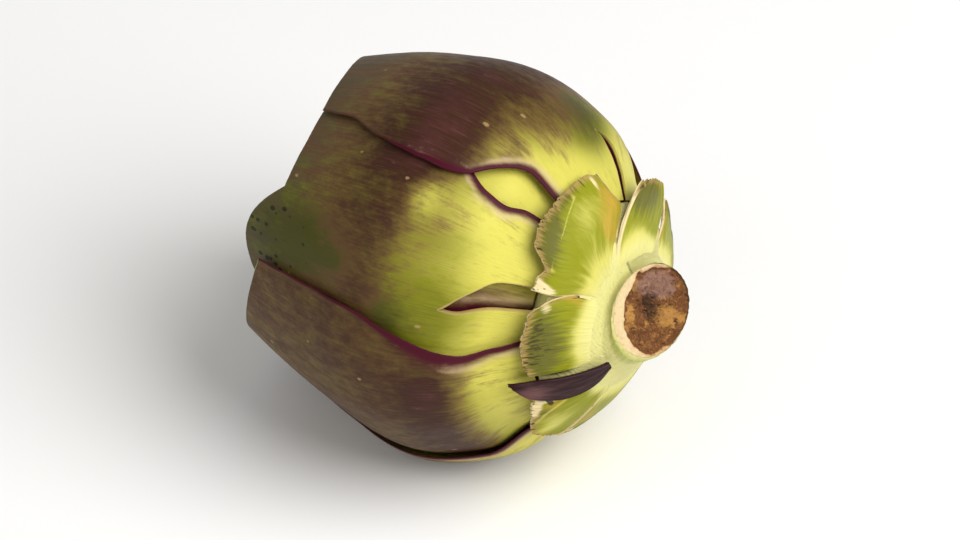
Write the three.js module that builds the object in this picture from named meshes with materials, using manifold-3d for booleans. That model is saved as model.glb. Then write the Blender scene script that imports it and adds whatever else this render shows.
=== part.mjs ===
// A globe artichoke trimmed for market, lying on its side on a level surface.
//
// Millimetres, +Z up. The plant's own axis runs along X, stem towards +X and raised a little.
// "Axial" is the distance along that axis from the widest section, positive towards the stem.
// "Angle" goes round the axis in degrees: 0 is the upper side, 90 the side that faces -Y.
// "Depth" is the distance below the outer envelope, measured square to it.
//
// Every bract is a curved slab between two margins, given as angles along the axis. It lies as
// deep as the bracts outside it need and bends only gently, so the bracts nest.
import * as THREE from 'three';
import { mergeVertices } from 'three/addons/utils/BufferGeometryUtils.js';
import Module from 'manifold-3d';

// ---------------------------------------------------------------- driving dimensions

const BELLY_RADIUS = 42.7; // widest section of the head
const CROWN = { length: 42, radius: 31.3, power: 1.43 }; // how the head narrows to its top
const DOME = { length: 41.7, power: 1.74 }; // rounded end at the stem
const STEM_TILT = 4; // degrees that the stem end is raised
const BELLY_AT = new THREE.Vector3(0.72, 0.05, 41.4); // middle of the widest section

// The knife went through the top at a slant: centre of the cut, slope, and its low side.
const TOP_CUT = { axial: -40.5, slope: 0.35, lowSide: 38 };
const STEM_CUT = { axial: 43.8, slope: 0.34, lowSide: 46 };
const STEM_RADIUS = 10.3;
const STEM_BEND = 4; // how far the stem's end leans to the upper side

const GAP = 0.5; // air between one bract and the next
const MARGIN_THICKNESS = 0.8;
const OUTER_THICKNESS = 2.2; // middle of an outer bract, thin for a good way in from its margins
const INNER_THICKNESS = 2.6; // middle of an inner bract, which stays thick almost to its margins
const TOP_THINNING = 0.15; // share of the thickness lost towards the top
const BRACT_BASE = 32; // axial place where every bract joins the base
const BASE_DIP = { from: 17, to: 26.5, depth: 2.2 }; // bract bases sink below the stubs

const INNER_BRACTS = 27;
const INNER_START = 26; // angle of the first inner bract
const GOLDEN_ANGLE = 137.5;

const STUB_DEPTH = -0.1;
const STUB_THICKNESS = 1.5;
const LIFT_POWER = 1.3; // how soon a stub's lift fades towards the stem

// Points along and across each slab, and round the stem.
const OUTER_GRID = { rows: 11, columns: 10 };
const INNER_GRID = { rows: 8, columns: 8 };
const STUB_GRID = { rows: 7, columns: 6 };
const STEM_SEGMENTS = 32;

// ---------------------------------------------------------------- envelope

const rad = THREE.MathUtils.degToRad;
const clamp01 = (x) => THREE.MathUtils.clamp(x, 0, 1);

// Smooth curve through [x, y] points, level beyond both ends.
function along(points, x) {
  const last = points.length - 1;
  if (x <= points[0][0]) return points[0][1];
  if (x >= points[last][0]) return points[last][1];
  const i = points.findIndex((p) => p[0] > x) - 1;
  const slope = (a, b) => (points[b][1] - points[a][1]) / (points[b][0] - points[a][0]);
  const width = points[i + 1][0] - points[i][0];
  const m0 = slope(Math.max(i - 1, 0), i + 1) * width;
  const m1 = slope(i, Math.min(i + 2, last)) * width;
  const t = (x - points[i][0]) / width;
  const rise = points[i + 1][1] - points[i][1];
  const bend = t * (1 - t);
  return points[i][1] + rise * t * t * (3 - 2 * t) + bend * ((1 - t) * m0 - t * m1);
}

// Half of the head's outline as [axial, radius], from beyond the top to the stem's middle.
const OUTLINE_START = -62;
const OUTLINE_STEP = 0.5; // millimetres above the widest section, degrees of turn below it
function outlinePoints() {
  const points = [];
  for (let axial = OUTLINE_START; axial < 0; axial += OUTLINE_STEP) {
    const narrowing = (-axial / CROWN.length) ** CROWN.power;
    points.push([axial, BELLY_RADIUS - (BELLY_RADIUS - CROWN.radius) * narrowing]);
  }
  const power = 2 / DOME.power;
  for (let turn = 0; turn < 90; turn += OUTLINE_STEP) {
    const a = rad(turn);
    points.push([DOME.length * Math.sin(a) ** power, BELLY_RADIUS * Math.cos(a) ** power]);
  }
  return points;
}
const OUTLINE = outlinePoints();

// Place and outward normal on the outline at a station, a fractional index into it.
function outlineAt(station) {
  const i = Math.min(Math.max(Math.floor(station), 1), OUTLINE.length - 3);
  const t = station - i;
  const mix = (a, b) => a + (b - a) * t;
  const before = OUTLINE[i - 1];
  const [here, next, after] = [OUTLINE[i], OUTLINE[i + 1], OUTLINE[i + 2]];
  const arriving = [next[0] - before[0], next[1] - before[1]];
  const leaving = [after[0] - here[0], after[1] - here[1]];
  const tangent = new THREE.Vector2(mix(arriving[0], leaving[0]), mix(arriving[1], leaving[1]));
  tangent.normalize();
  return {
    axial: mix(here[0], next[0]),
    radius: mix(here[1], next[1]),
    outAxial: -tangent.y,
    outRadius: tangent.x,
  };
}

function stationAt(axial) {
  const i = OUTLINE.findIndex((p) => p[0] > axial) - 1;
  return i + (axial - OUTLINE[i][0]) / (OUTLINE[i + 1][0] - OUTLINE[i][0]);
}

// From the plant's axis, radius and angle to the place in the part's frame.
const TILT = new THREE.Matrix4().makeRotationY(-rad(STEM_TILT));
function place(axial, radius, angle) {
  const a = rad(angle);
  const point = new THREE.Vector3(axial, -radius * Math.sin(a), radius * Math.cos(a));
  return point.applyMatrix4(TILT).add(BELLY_AT);
}

function onEnvelope(station, depth) {
  const at = outlineAt(station);
  return { axial: at.axial - depth * at.outAxial, radius: at.radius - depth * at.outRadius };
}

// ---------------------------------------------------------------- closed slabs

// A slab between an outer and an inner sheet of points, closed round its four edges.
// Rows run towards the stem and columns towards larger angles.
function slabGeometry(rows, columns, outerPoint, innerPoint) {
  const positions = [];
  for (const sheet of [outerPoint, innerPoint]) {
    for (let i = 0; i < rows; i++) {
      for (let j = 0; j < columns; j++) {
        positions.push(...sheet(i / (rows - 1), (2 * j) / (columns - 1) - 1));
      }
    }
  }
  const indices = [];
  const quad = (a, b, c, d) => indices.push(a, b, c, a, c, d);
  const outer = (i, j) => i * columns + j;
  const inner = (i, j) => rows * columns + i * columns + j;
  for (let i = 0; i < rows - 1; i++) {
    for (let j = 0; j < columns - 1; j++) {
      quad(outer(i, j), outer(i, j + 1), outer(i + 1, j + 1), outer(i + 1, j));
      quad(inner(i, j), inner(i + 1, j), inner(i + 1, j + 1), inner(i, j + 1));
    }
  }
  const lastRow = rows - 1;
  const lastColumn = columns - 1;
  for (let i = 0; i < lastRow; i++) {
    quad(outer(i, 0), outer(i + 1, 0), inner(i + 1, 0), inner(i, 0));
    quad(outer(i, lastColumn), inner(i, lastColumn), inner(i + 1, lastColumn), outer(i + 1, lastColumn));
  }
  for (let j = 0; j < lastColumn; j++) {
    quad(outer(0, j), inner(0, j), inner(0, j + 1), outer(0, j + 1));
    quad(outer(lastRow, j), outer(lastRow, j + 1), inner(lastRow, j + 1), inner(lastRow, j));
  }
  return indexed(positions, indices);
}

function indexed(positions, indices) {
  const geometry = new THREE.BufferGeometry();
  geometry.setAttribute('position', new THREE.Float32BufferAttribute(positions, 3));
  geometry.setIndex(indices);
  return geometry;
}

const wasm = await Module();
wasm.setup();

function toSolid(geometry) {
  const bare = geometry.clone();
  bare.deleteAttribute('normal');
  bare.deleteAttribute('uv');
  const merged = mergeVertices(bare);
  return new wasm.Manifold(
    new wasm.Mesh({
      numProp: 3,
      vertProperties: new Float32Array(merged.attributes.position.array),
      triVerts: new Uint32Array(merged.index.array),
    }),
  );
}

function toGeometry(solid) {
  const mesh = solid.getMesh();
  return indexed(Array.from(mesh.vertProperties), Array.from(mesh.triVerts));
}

// ---------------------------------------------------------------- bracts

// Margins as [axial, angle], the one at smaller angles first. These six are the outermost.
// Each later bract tucks under those before it where they overlap.
const OUTER_BRACTS = [
  {
    name: 'bract_underside',
    low: [[-50, 143], [0, 138], [12, 140], [20, 143], [32, 143]],
    high: [[-50, 222], [0, 226], [12, 221], [20, 212], [32, 210]],
  },
  {
    name: 'bract_back',
    low: [[-50, -120], [0, -123], [12, -129], [20, -138], [32, -150]],
    high: [[-50, -60], [0, -62], [12, -73], [20, -88], [32, -108]],
  },
  {
    name: 'bract_front_low',
    low: [[-50, 73], [-10, 72], [0, 73], [9, 77], [17, 81], [21, 82.2], [25, 81], [32, 76]],
    high: [[-50, 152], [0, 153], [12, 151], [20, 149], [32, 148]],
  },
  {
    name: 'bract_top',
    low: [[-50, -72], [0, -76], [12, -87], [20, -101], [32, -121]],
    high: [[-50, 15], [-21, 17], [-11, 22], [4, 25], [11, 23.5], [15, 17.5], [20, 10], [24, 8.5], [32, 10]],
    split: {
      low: [[20.3, -31], [21.3, -36], [23, -40.8], [25, -42.5], [27.2, -41.2], [29.5, -38.4], [32, -35.5]],
      high: [[20.3, -30], [21.5, -33], [23, -35], [25, -36.6], [27, -36.2], [29, -34.4], [32, -31.5]],
    },
  },
  {
    name: 'bract_back_low',
    low: [[-50, -170], [0, -172], [12, -169], [20, -164], [32, -166]],
    high: [[-50, -103], [0, -104], [12, -111], [20, -121], [32, -134]],
  },
  {
    name: 'bract_front_high',
    low: [[-50, 8], [0, 12], [9, 17], [13, 22], [18, 25], [21, 24.8], [24.5, 21], [32, 18]],
    high: [[-50, 90], [0, 91], [15, 90], [22, 88], [32, 85]],
    tip: { axial: -36.6, angle: 66, flare: 0.02, halfWidth: 21 },
    split: {
      low: [[16, 65.6], [19.2, 61], [21.8, 57], [24, 53.3], [26, 51.5], [32, 49]],
      high: [[16, 66.4], [19.2, 66.4], [22, 65], [25, 63.5], [32, 62]],
    },
  },
];
const INNER_HALF_WIDTH = [[-50, 42], [0, 43], [12, 40], [20, 34], [32, 33]];
// The first inner bract reaches further on the side where the split above it opens.
const FIRST_INNER_HIGH = [[-50, 69], [0, 70], [12, 69.5], [20, 67.5], [32, 65]];

function innerBract(index) {
  const centre = INNER_START + index * GOLDEN_ANGLE;
  const turn = (((centre + 180) % 360) + 360) % 360;
  const wrapped = turn - 180;
  const shifted = (sign) => INNER_HALF_WIDTH.map(([axial, half]) => [axial, wrapped + sign * half]);
  const name = `bract_inner_${String(index + 1).padStart(2, '0')}`;
  const high = index === 0 ? FIRST_INNER_HIGH : shifted(1);
  return { name, low: shifted(-1), high, inner: true };
}

const BRACTS = [...OUTER_BRACTS];
for (let i = 0; i < INNER_BRACTS; i++) BRACTS.push(innerBract(i));

// Across a bract u runs from -1 at one margin to 1 at the other.
function thickness(bract, u) {
  const fullness = bract.inner ? 1 - u ** 4 : (1 - u ** 2) ** 2;
  const middle = bract.inner ? INNER_THICKNESS : OUTER_THICKNESS;
  return MARGIN_THICKNESS + (middle - MARGIN_THICKNESS) * fullness;
}

function baseDip(axial) {
  const t = clamp01((axial - BASE_DIP.from) / (BASE_DIP.to - BASE_DIP.from));
  return BASE_DIP.depth * t * t * (3 - 2 * t);
}

function angleAcross(bract, axial, u) {
  const low = along(bract.low, axial);
  const high = along(bract.high, axial);
  return low + ((high - low) * (u + 1)) / 2;
}

// Depth that a bract needs at u to clear every bract outside it, tried at several sections.
const SECTIONS = [-40, -20, 0, 12, 20, 28];
const BESIDE = 1.05; // a bract still counts as outside this share of its half width away
function clearDepth(bract, outside, u) {
  let depth = 0;
  for (const axial of SECTIONS) {
    const angle = angleAcross(bract, axial, u);
    for (const other of outside) {
      const low = along(other.low, axial);
      const high = along(other.high, axial);
      const apart = ((angle - (low + high) / 2 + 540) % 360) - 180;
      const v = (2 * apart) / (high - low);
      if (Math.abs(v) >= BESIDE) continue;
      const inside = along(other.depths, v) + thickness(other, Math.min(Math.abs(v), 1));
      depth = Math.max(depth, inside + GAP);
    }
  }
  return depth;
}

// A bract's depths as [u, depth]: it follows what lies over it, but bends only gently.
const KNOTS = [-1, -0.6, -0.2, 0.2, 0.6, 1];
const KNOT_REACH = 0.42;
const KNOT_STEP = 0.25;
const STEEPEST = 1.1; // largest change of depth from one knot to the next
function nestUnder(bract, outside) {
  const depths = KNOTS.map((knot) => {
    let depth = 0;
    for (let step = -1; step <= 1; step += KNOT_STEP) {
      const u = THREE.MathUtils.clamp(knot + KNOT_REACH * step, -1, 1);
      depth = Math.max(depth, clearDepth(bract, outside, u));
    }
    return depth;
  });
  for (let i = 1; i < depths.length; i++) depths[i] = Math.max(depths[i], depths[i - 1] - STEEPEST);
  for (let i = depths.length - 2; i >= 0; i--) depths[i] = Math.max(depths[i], depths[i + 1] - STEEPEST);
  return KNOTS.map((knot, i) => [knot, depths[i]]);
}
BRACTS.forEach((bract, i) => {
  bract.depths = nestUnder(bract, BRACTS.slice(0, i));
});

// Axial place of the slanted knife cut at a radius and angle.
function knifeAt(cut, radius, angle) {
  return cut.axial + cut.slope * radius * Math.cos(rad(angle - cut.lowSide));
}

// Where a bract ends at the top: the knife cut, or its own tip where that was left whole.
function topLimit(bract, radius, angle) {
  const knife = knifeAt(TOP_CUT, radius, angle);
  if (!bract.tip) return knife;
  const across = angle - bract.tip.angle;
  if (Math.abs(across) > bract.tip.halfWidth) return knife;
  return Math.min(knife, bract.tip.axial + bract.tip.flare * across * across);
}

function bractDepth(bract, axial, u, inner) {
  const outside = along(bract.depths, u) + baseDip(axial);
  const thinning = 1 - TOP_THINNING * clamp01(-axial / CROWN.length);
  return inner ? outside + thickness(bract, u) * thinning : outside;
}

// Point of a bract at a station; u across, inner or outer face.
function bractPoint(bract, station, u, inner) {
  const { axial } = outlineAt(station);
  const angle = angleAcross(bract, axial, u);
  return { ...onEnvelope(station, bractDepth(bract, axial, u, inner)), angle };
}

// Station where a bract's face reaches its top limit, found by halving.
const BASE_STATION = stationAt(BRACT_BASE);
const WIDEST_STATION = stationAt(0);
const HALVINGS = 30;
function topStation(bract, u, inner) {
  let above = 1;
  let below = WIDEST_STATION;
  for (let i = 0; i < HALVINGS; i++) {
    const middle = (above + below) / 2;
    const p = bractPoint(bract, middle, u, inner);
    if (p.axial < topLimit(bract, p.radius, p.angle)) above = middle;
    else below = middle;
  }
  return below;
}

function bractGeometry(bract, { rows, columns }) {
  const sheet = (inner) => (v, u) => {
    const top = topStation(bract, u, inner);
    const station = top + (BASE_STATION - top) * v;
    const p = bractPoint(bract, station, u, inner);
    return place(p.axial, p.radius, p.angle);
  };
  return slabGeometry(rows, columns, sheet(false), sheet(true));
}

// Where a bract's base has split lengthwise, this is the wedge of air in the split.
const WEDGE = { rows: 9, from: -3, to: 9 }; // depths that the wedge runs from and to
function splitGeometry(split) {
  const start = stationAt(split.low[0][0]);
  const end = stationAt(BRACT_BASE + 1);
  const sheet = (depth) => (v, u) => {
    const station = start + (end - start) * v;
    const { axial } = outlineAt(station);
    const p = onEnvelope(station, depth);
    return place(p.axial, p.radius, angleAcross(split, axial, u));
  };
  return slabGeometry(WEDGE.rows, 2, sheet(WEDGE.from), sheet(WEDGE.to));
}

// ---------------------------------------------------------------- stubs of the lowest bracts

// Each stub is what is left of a bract torn off near its base. v runs from the torn edge to
// the stem and u across. low and high are its sides as [v, angle]; torn is the torn edge and
// stemEnd the other end, as [u, axial]. lift raises the torn edge off the head, and rise raises
// the whole stub, as [v, mm].
const STUBS = [
  {
    name: 'stub_upper',
    low: [[0, -13], [0.3, -15], [0.5, -18.5], [0.62, -12], [0.75, -1], [0.88, 10], [1, 16]],
    high: [[0, 50], [0.4, 49.3], [0.68, 44.2], [0.9, 40.6], [1, 39]],
    torn: [[-1, 26.9], [-0.3, 26.2], [0.4, 26.8], [0.7, 29.8], [1, 29]],
    stemEnd: [[-1, 37.3], [1, 37.3]],
    lift: 0.2,
  },
  {
    name: 'stub_standing',
    low: [[0, -60], [0.5, -55], [1, -40]],
    high: [[0, -36], [0.3, -23], [0.45, -15], [0.6, -6.5], [0.8, 5], [1, 12.5]],
    torn: [[-1, 28.3], [1, 30]],
    stemEnd: [[-1, 37.6], [1, 37.7]],
    lift: 2.6,
  },
  {
    name: 'stub_front',
    low: [[0, 57], [0.29, 51.2], [0.58, 45.7], [0.85, 42.3], [1, 41.5]],
    high: [[0, 92], [0.4, 94], [0.8, 97.5], [1, 100]],
    torn: [[-1, 30.6], [-0.7, 29.6], [0.6, 29.8], [1, 30.5]],
    stemEnd: [[-1, 37.6], [1, 37.8]],
    lift: 0.5,
  },
  {
    name: 'stub_tongue',
    low: [[0, 95], [0.2, 95.5], [0.5, 96.5], [0.85, 100.5], [1, 106]],
    high: [[0, 100], [0.12, 105], [0.4, 111.5], [0.7, 116], [0.88, 116], [1, 111.5]],
    torn: [[-1, 27.8], [1, 29]],
    stemEnd: [[-1, 39.3], [1, 39.3]],
    lift: 0.4,
    rise: [[0, 0], [0.3, 0.5], [0.5, 1.3], [0.8, 2], [1, 2]],
  },
  {
    name: 'stub_low',
    low: [[0, 108], [0.5, 117], [0.85, 122], [1, 126]],
    high: [[0, 150], [1, 147]],
    torn: [[-1, 30.4], [-0.4, 29], [0.3, 27.2], [1, 28]],
    stemEnd: [[-1, 37.5], [1, 37.3]],
    lift: 0.4,
  },
  {
    name: 'stub_back_high',
    low: [[0, -106], [1, -98]],
    high: [[0, -67], [0.5, -63], [1, -50]],
    torn: [[-1, 27.5], [0.2, 27], [1, 29]],
    stemEnd: [[-1, 37.3], [1, 37.6]],
    lift: 1.6,
  },
  {
    name: 'stub_back_low',
    low: [[0, -158], [1, -150]],
    high: [[0, -110], [1, -103]],
    torn: [[-1, 27.6], [0, 28.6], [1, 27.2]],
    stemEnd: [[-1, 37.3], [1, 37.3]],
    lift: 0.5,
  },
  {
    name: 'stub_underside',
    low: [[0, 155], [1, 152]],
    high: [[0, 198], [1, 205]],
    torn: [[-1, 27.4], [0, 28.2], [1, 29]],
    stemEnd: [[-1, 37.3], [1, 37.3]],
    lift: 0.4,
  },
];

const NO_RISE = [[0, 0], [1, 0]];
function stubGeometry(stub, { rows, columns }) {
  const { rise = NO_RISE } = stub;
  const sheet = (thick) => (v, u) => {
    const angle = THREE.MathUtils.lerp(along(stub.low, v), along(stub.high, v), (u + 1) / 2);
    const axial = THREE.MathUtils.lerp(along(stub.torn, u), along(stub.stemEnd, u), v);
    const depth = STUB_DEPTH - stub.lift * (1 - v) ** LIFT_POWER - along(rise, v) + thick;
    const p = onEnvelope(stationAt(axial), depth);
    return place(p.axial, p.radius, angle);
  };
  return slabGeometry(rows, columns, sheet(0), sheet(STUB_THICKNESS));
}

// ---------------------------------------------------------------- stem and base

const STRAIGHT = 38; // axial place from which the stem starts to lean
const CUT_RIM = 0.95; // share of the stem's radius at the rim of its cut face
const HEART_DEPTH = 2; // surface of the base below the stubs
const HEART_REACH = 27; // how deep the base's sloping side runs under the bracts
const HEART_TIP = 2.5; // how far its point runs on from there
const HEART_AXIAL = BRACT_BASE + 0.45;
const STUB_SEAT = 38.3; // axial place where the base rises from under the stubs
const SEAT_DEPTH = 0.1;

// The stem's side as [axial, radius], from half way out on the cut face down to the flare.
const STEM_SIDE = [
  [STEM_CUT.axial, STEM_RADIUS / 2],
  [STEM_CUT.axial, STEM_RADIUS * CUT_RIM],
  [STEM_CUT.axial - 0.6, STEM_RADIUS],
  [STEM_CUT.axial - 2.5, STEM_RADIUS],
  [40.2, STEM_RADIUS + 0.3],
];
// The base below it as [axial, depth], down to the last ring inside the head.
const BASE_SIDE = [
  [39.3, SEAT_DEPTH],
  [STUB_SEAT, SEAT_DEPTH],
  [STUB_SEAT - 0.05, HEART_DEPTH],
  [35, HEART_DEPTH],
  [HEART_AXIAL, HEART_DEPTH],
  [HEART_AXIAL, THREE.MathUtils.lerp(HEART_DEPTH, HEART_REACH, 0.3)],
  [HEART_AXIAL, THREE.MathUtils.lerp(HEART_DEPTH, HEART_REACH, 0.65)],
  [HEART_AXIAL, HEART_REACH],
];

function stemGeometry(segments) {
  const rings = [
    ...STEM_SIDE.map(([axial, radius]) => ({ axial, radius })),
    ...BASE_SIDE.map(([axial, depth]) => onEnvelope(stationAt(axial), depth)),
  ];
  const lean = (share) => place(0, STEM_BEND * share ** 1.5, 0).sub(place(0, 0, 0));
  const positions = [];
  for (const { axial, radius } of rings) {
    const share = clamp01((axial - STRAIGHT) / (STEM_CUT.axial - STRAIGHT));
    for (let k = 0; k < segments; k++) {
      const angle = (360 * k) / segments;
      const slant = knifeAt(STEM_CUT, radius, angle) - STEM_CUT.axial;
      positions.push(...place(axial - slant * share ** 2, radius, angle).add(lean(share)));
    }
  }
  const indices = [];
  for (let i = 0; i < rings.length - 1; i++) {
    for (let k = 0; k < segments; k++) {
      const next = (k + 1) % segments;
      const [a, b] = [i * segments + k, i * segments + next];
      const [c, d] = [(i + 1) * segments + next, (i + 1) * segments + k];
      indices.push(a, c, b, a, d, c);
    }
  }
  const cutCentre = positions.length / 3;
  positions.push(...place(STEM_CUT.axial, 0, 0).add(lean(1)));
  const last = rings.length - 1;
  positions.push(...place(rings[last].axial - HEART_TIP, 0, 0));
  for (let k = 0; k < segments; k++) {
    const next = (k + 1) % segments;
    indices.push(cutCentre, k, next);
    indices.push(cutCentre + 1, last * segments + next, last * segments + k);
  }
  return indexed(positions, indices);
}

// ---------------------------------------------------------------- assembly

const SKIN = {
  outer: new THREE.MeshStandardMaterial({ color: 0x7d7440, roughness: 0.45, metalness: 0 }),
  inner: new THREE.MeshStandardMaterial({ color: 0xb9b548, roughness: 0.5, metalness: 0 }),
  stub: new THREE.MeshStandardMaterial({ color: 0x9aa032, roughness: 0.6, metalness: 0 }),
  stem: new THREE.MeshStandardMaterial({ color: 0xcfd07a, roughness: 0.6, metalness: 0 }),
};

const ROOM = 200; // side of a box that holds everything above the surface
const aboveFloor = toSolid(new THREE.BoxGeometry(ROOM, ROOM, ROOM).translate(0, 0, ROOM / 2));

// What the head rests on is pressed flat: nothing reaches below z = 0.
function restOnFloor(geometry) {
  geometry.computeBoundingBox();
  if (geometry.boundingBox.min.z >= 0) return geometry;
  return toGeometry(toSolid(geometry).intersect(aboveFloor));
}

const group = new THREE.Group();
function add(name, geometry, material) {
  const mesh = new THREE.Mesh(restOnFloor(geometry), material);
  mesh.name = name;
  group.add(mesh);
}

add('stem_and_base', stemGeometry(STEM_SEGMENTS), SKIN.stem);
for (const stub of STUBS) add(stub.name, stubGeometry(stub, STUB_GRID), SKIN.stub);
for (const bract of BRACTS) {
  let geometry = bractGeometry(bract, bract.inner ? INNER_GRID : OUTER_GRID);
  if (bract.split) {
    const split = toSolid(splitGeometry(bract.split));
    geometry = toGeometry(toSolid(geometry).subtract(split));
  }
  add(bract.name, geometry, bract.inner ? SKIN.inner : SKIN.outer);
}

export default group;
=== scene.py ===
"""A globe artichoke trimmed for market, lying on its side on a pale floor.

Every bract, torn stub and the stem is worked out as whole numpy arrays and stands for the CAD
node of the same name. Lengths inside the formulas are millimetres; meshes are in metres.

The plant's own axis runs along X, stem towards +X and raised a little. "Axial" is the distance
along that axis from the widest section, positive towards the stem. "Angle" goes round the axis
in degrees: 0 is the upper side, 90 the side that faces -Y. "Depth" is the distance below the
outer envelope, measured square to it.
"""

import math
from dataclasses import dataclass, field

import bpy
import numpy as np
from bpy.props import FloatProperty, FloatVectorProperty, PointerProperty
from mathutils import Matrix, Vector


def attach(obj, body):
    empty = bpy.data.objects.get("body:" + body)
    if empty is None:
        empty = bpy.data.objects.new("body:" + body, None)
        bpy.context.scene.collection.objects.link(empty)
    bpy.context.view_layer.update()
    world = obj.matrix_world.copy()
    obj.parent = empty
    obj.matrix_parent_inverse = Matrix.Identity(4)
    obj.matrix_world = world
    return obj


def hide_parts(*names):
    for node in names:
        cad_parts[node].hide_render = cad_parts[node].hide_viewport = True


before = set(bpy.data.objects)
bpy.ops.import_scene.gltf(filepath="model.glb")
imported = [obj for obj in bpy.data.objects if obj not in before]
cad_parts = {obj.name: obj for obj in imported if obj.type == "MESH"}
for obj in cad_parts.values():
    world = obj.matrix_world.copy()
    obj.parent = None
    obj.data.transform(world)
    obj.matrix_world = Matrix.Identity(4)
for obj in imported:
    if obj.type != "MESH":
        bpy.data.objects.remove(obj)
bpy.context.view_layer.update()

bl_info = {
    "name": "Trimmed artichoke",
    "version": (1, 0, 0),
    "blender": (4, 5, 0),
    "location": "3D View > Sidebar > Artichoke",
    "description": "Builds a trimmed globe artichoke, bract by bract, and a plain stage for it",
    "category": "Object",
}

MM = 0.001

# ---------------------------------------------------------------- the head's envelope

BELLY_RADIUS = 42.7
CROWN_LENGTH, CROWN_RADIUS, CROWN_POWER = 42.0, 31.3, 1.43
DOME_LENGTH, DOME_POWER = 41.7, 1.74
OUTLINE_STEP = 0.5  # mm along the crown and degrees round the dome
STEM_TILT = math.radians(4)
BELLY_AT = (0.72, 0.05, 41.4)
LEAST_RADIUS = 5.0  # taken where mm are turned into degrees close to the plant's axis
PRESS = 0.25  # height below which the underside is pressed towards the floor

# Knife cuts: place on the axis, slant in mm per mm of radius, and the angle where most is cut off.
TOP_CUT = {"axial": -40.5, "slope": 0.35, "low_side": 38}
STEM_CUT = {"axial": 43.8, "slope": 0.34, "low_side": 46}
STEM_RADIUS = 10.3
CUT_RADIUS = STEM_RADIUS * 0.95
STEM_BEND = 4.0  # how far the cut end leans to the upper side

GAP = 0.5  # clearance between a bract and those over it
MARGIN_THICKNESS, OUTER_THICKNESS, INNER_THICKNESS = 0.8, 2.2, 2.6
TOP_THINNING = 0.15  # share of its thickness that a bract loses towards the top
SKIN_DROP = 0.1  # how far the outer skin lies below the bract's own depth
WAVE_SINK = 0.9  # how far the waves lie below that, as a share of their height
LIP_WIDTH, GROOVE_AT, GROOVE_WIDTH, PRESSED_WIDTH = 0.8, 2.2, 1.2, 2.2
WANDER, WANDER_LENGTH = 0.22, 3.1  # how far a margin strays sideways, and over what length
FARTHEST = 4.0  # distances from a margin or a split are told apart up to this many widths
BRACT_BASE = 32.0
BASE_DIP = {"from": 17.0, "to": 26.5, "depth": 2.2}

OUTER_GRID = (150, 112)  # rows and columns of a bract's mesh
SEEN_INNER, SEEN_GRID = 3, (90, 70)  # how many inner bracts show between the outer ones
HIDDEN_GRID = (34, 44)
SEAM_SHARE = 0.62  # share of a split bract's rows that lie above the split
LOBE_EXTRA = 0.1  # share of the columns that each lobe has beyond its part of the width
BRACT_CUT_DIP, STUB_CUT_DIP = 0.002, 0.03  # how far end faces dip in, as a share of the length
SHARP_ANGLE = math.radians(48)  # edges that turn by more than this are shaded as sharp
BRACT_SEED, INNER_SEED, STUB_SEED, STEM_SEED = 11, 101, 401, 501
SEED_STEP = 10

INNER_BRACTS = 27
INNER_START = 26.0  # angle of the first one's middle
GOLDEN_ANGLE = 137.5
INNER_HALF_WIDTH = [[-50, 42], [0, 43], [12, 40], [20, 34], [32, 33]]
# The first inner bract reaches further on the side where the split above it opens.
FIRST_INNER_HIGH = [[-50, 69], [0, 70], [12, 69.5], [20, 67.5], [32, 65]]

STUB_ROWS, STUB_COLUMNS, ROW_CROWDING = 44, 90, 1.35
STUB_DEPTH = -0.1  # the stubs lie just outside the envelope
STUB_THICKNESS = 1.5
TORN_RADIUS = 30.0  # the head's radius, roundly, at the torn edges
VEIN_RADIUS = BELLY_RADIUS * 0.75  # and where the veins run
FAR = 99.0  # the distance given where a stub has no vein
STUB_DROP = 0.12  # how far the skin of a stub lies below the stub's own depth
STUB_SINK = 0.5  # how far a stub's lower end sinks into the flare of the stem
STUB_SWELL, STUB_RIDGE, FACE_GRAIN = 0.12, 0.04, 0.16
FRAY_RIDGE, FRAY_DEPTH, FRAY_WIDTH = 0.15, 0.35, 1.3
TONGUE_CALM = 0.85  # share of the raggedness that smooth purple skin does not have
CUT_EDGE = 2.5  # how abruptly cut or torn flesh gives way to skin at its edges
MERGE = 1.3  # how far a stub runs on into the flare of the stem

LATTICE = 64  # corners along each side of the noise's square, after which it repeats
# Seeded unevenness as layers of (width in mm, length in mm, share).
RIBS = ((0.8, 30, 1), (0.45, 20, 0.6))
WAVES = ((15, 19, 1), (6, 15, 0.45))
STUB_RIDGES = ((0.55, 3, 1), (1.6, 6, 0.6))
PITH_GRAIN = ((0.9, 0.9, 1), (0.4, 0.4, 0.6))
# A torn edge has tears as (width in mm, row of the noise, share) and narrow notches.
TEARS = ((2.6, 0.5, 0.55), (0.9, 3.5, 0.3), (0.35, 6.5, 0.2))
NOTCH_WIDTH = 0.6


def ease(x):
    """0 below 0, 1 above 1, and 3x^2 - 2x^3 between them."""
    x = np.clip(x, 0, 1)
    return x * x * (3 - 2 * x)


def along(points, x):
    """Smooth curve through (x, y) points, level beyond both ends. Each span is a cubic, and its
    slope at a point is that of the chord between the point's two neighbours."""
    px, py = np.array(points, float).T
    x = np.clip(x, px[0], px[-1])
    i = np.clip(np.searchsorted(px, x, side="right") - 1, 0, len(px) - 2)
    before, after = np.maximum(i - 1, 0), np.minimum(i + 2, len(px) - 1)
    width = px[i + 1] - px[i]
    start = (py[i + 1] - py[before]) / (px[i + 1] - px[before]) * width
    end = (py[after] - py[i]) / (px[after] - px[i]) * width
    t = (x - px[i]) / width
    rise = (py[i + 1] - py[i]) * t * t * (3 - 2 * t)
    return py[i] + rise + t * (1 - t) * ((1 - t) * start - t * end)


def hump(distance, width):
    """1 at no distance, falling to 1/e at the width: e to the minus (distance / width)^2."""
    return np.exp(-((distance / width) ** 2))


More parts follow.
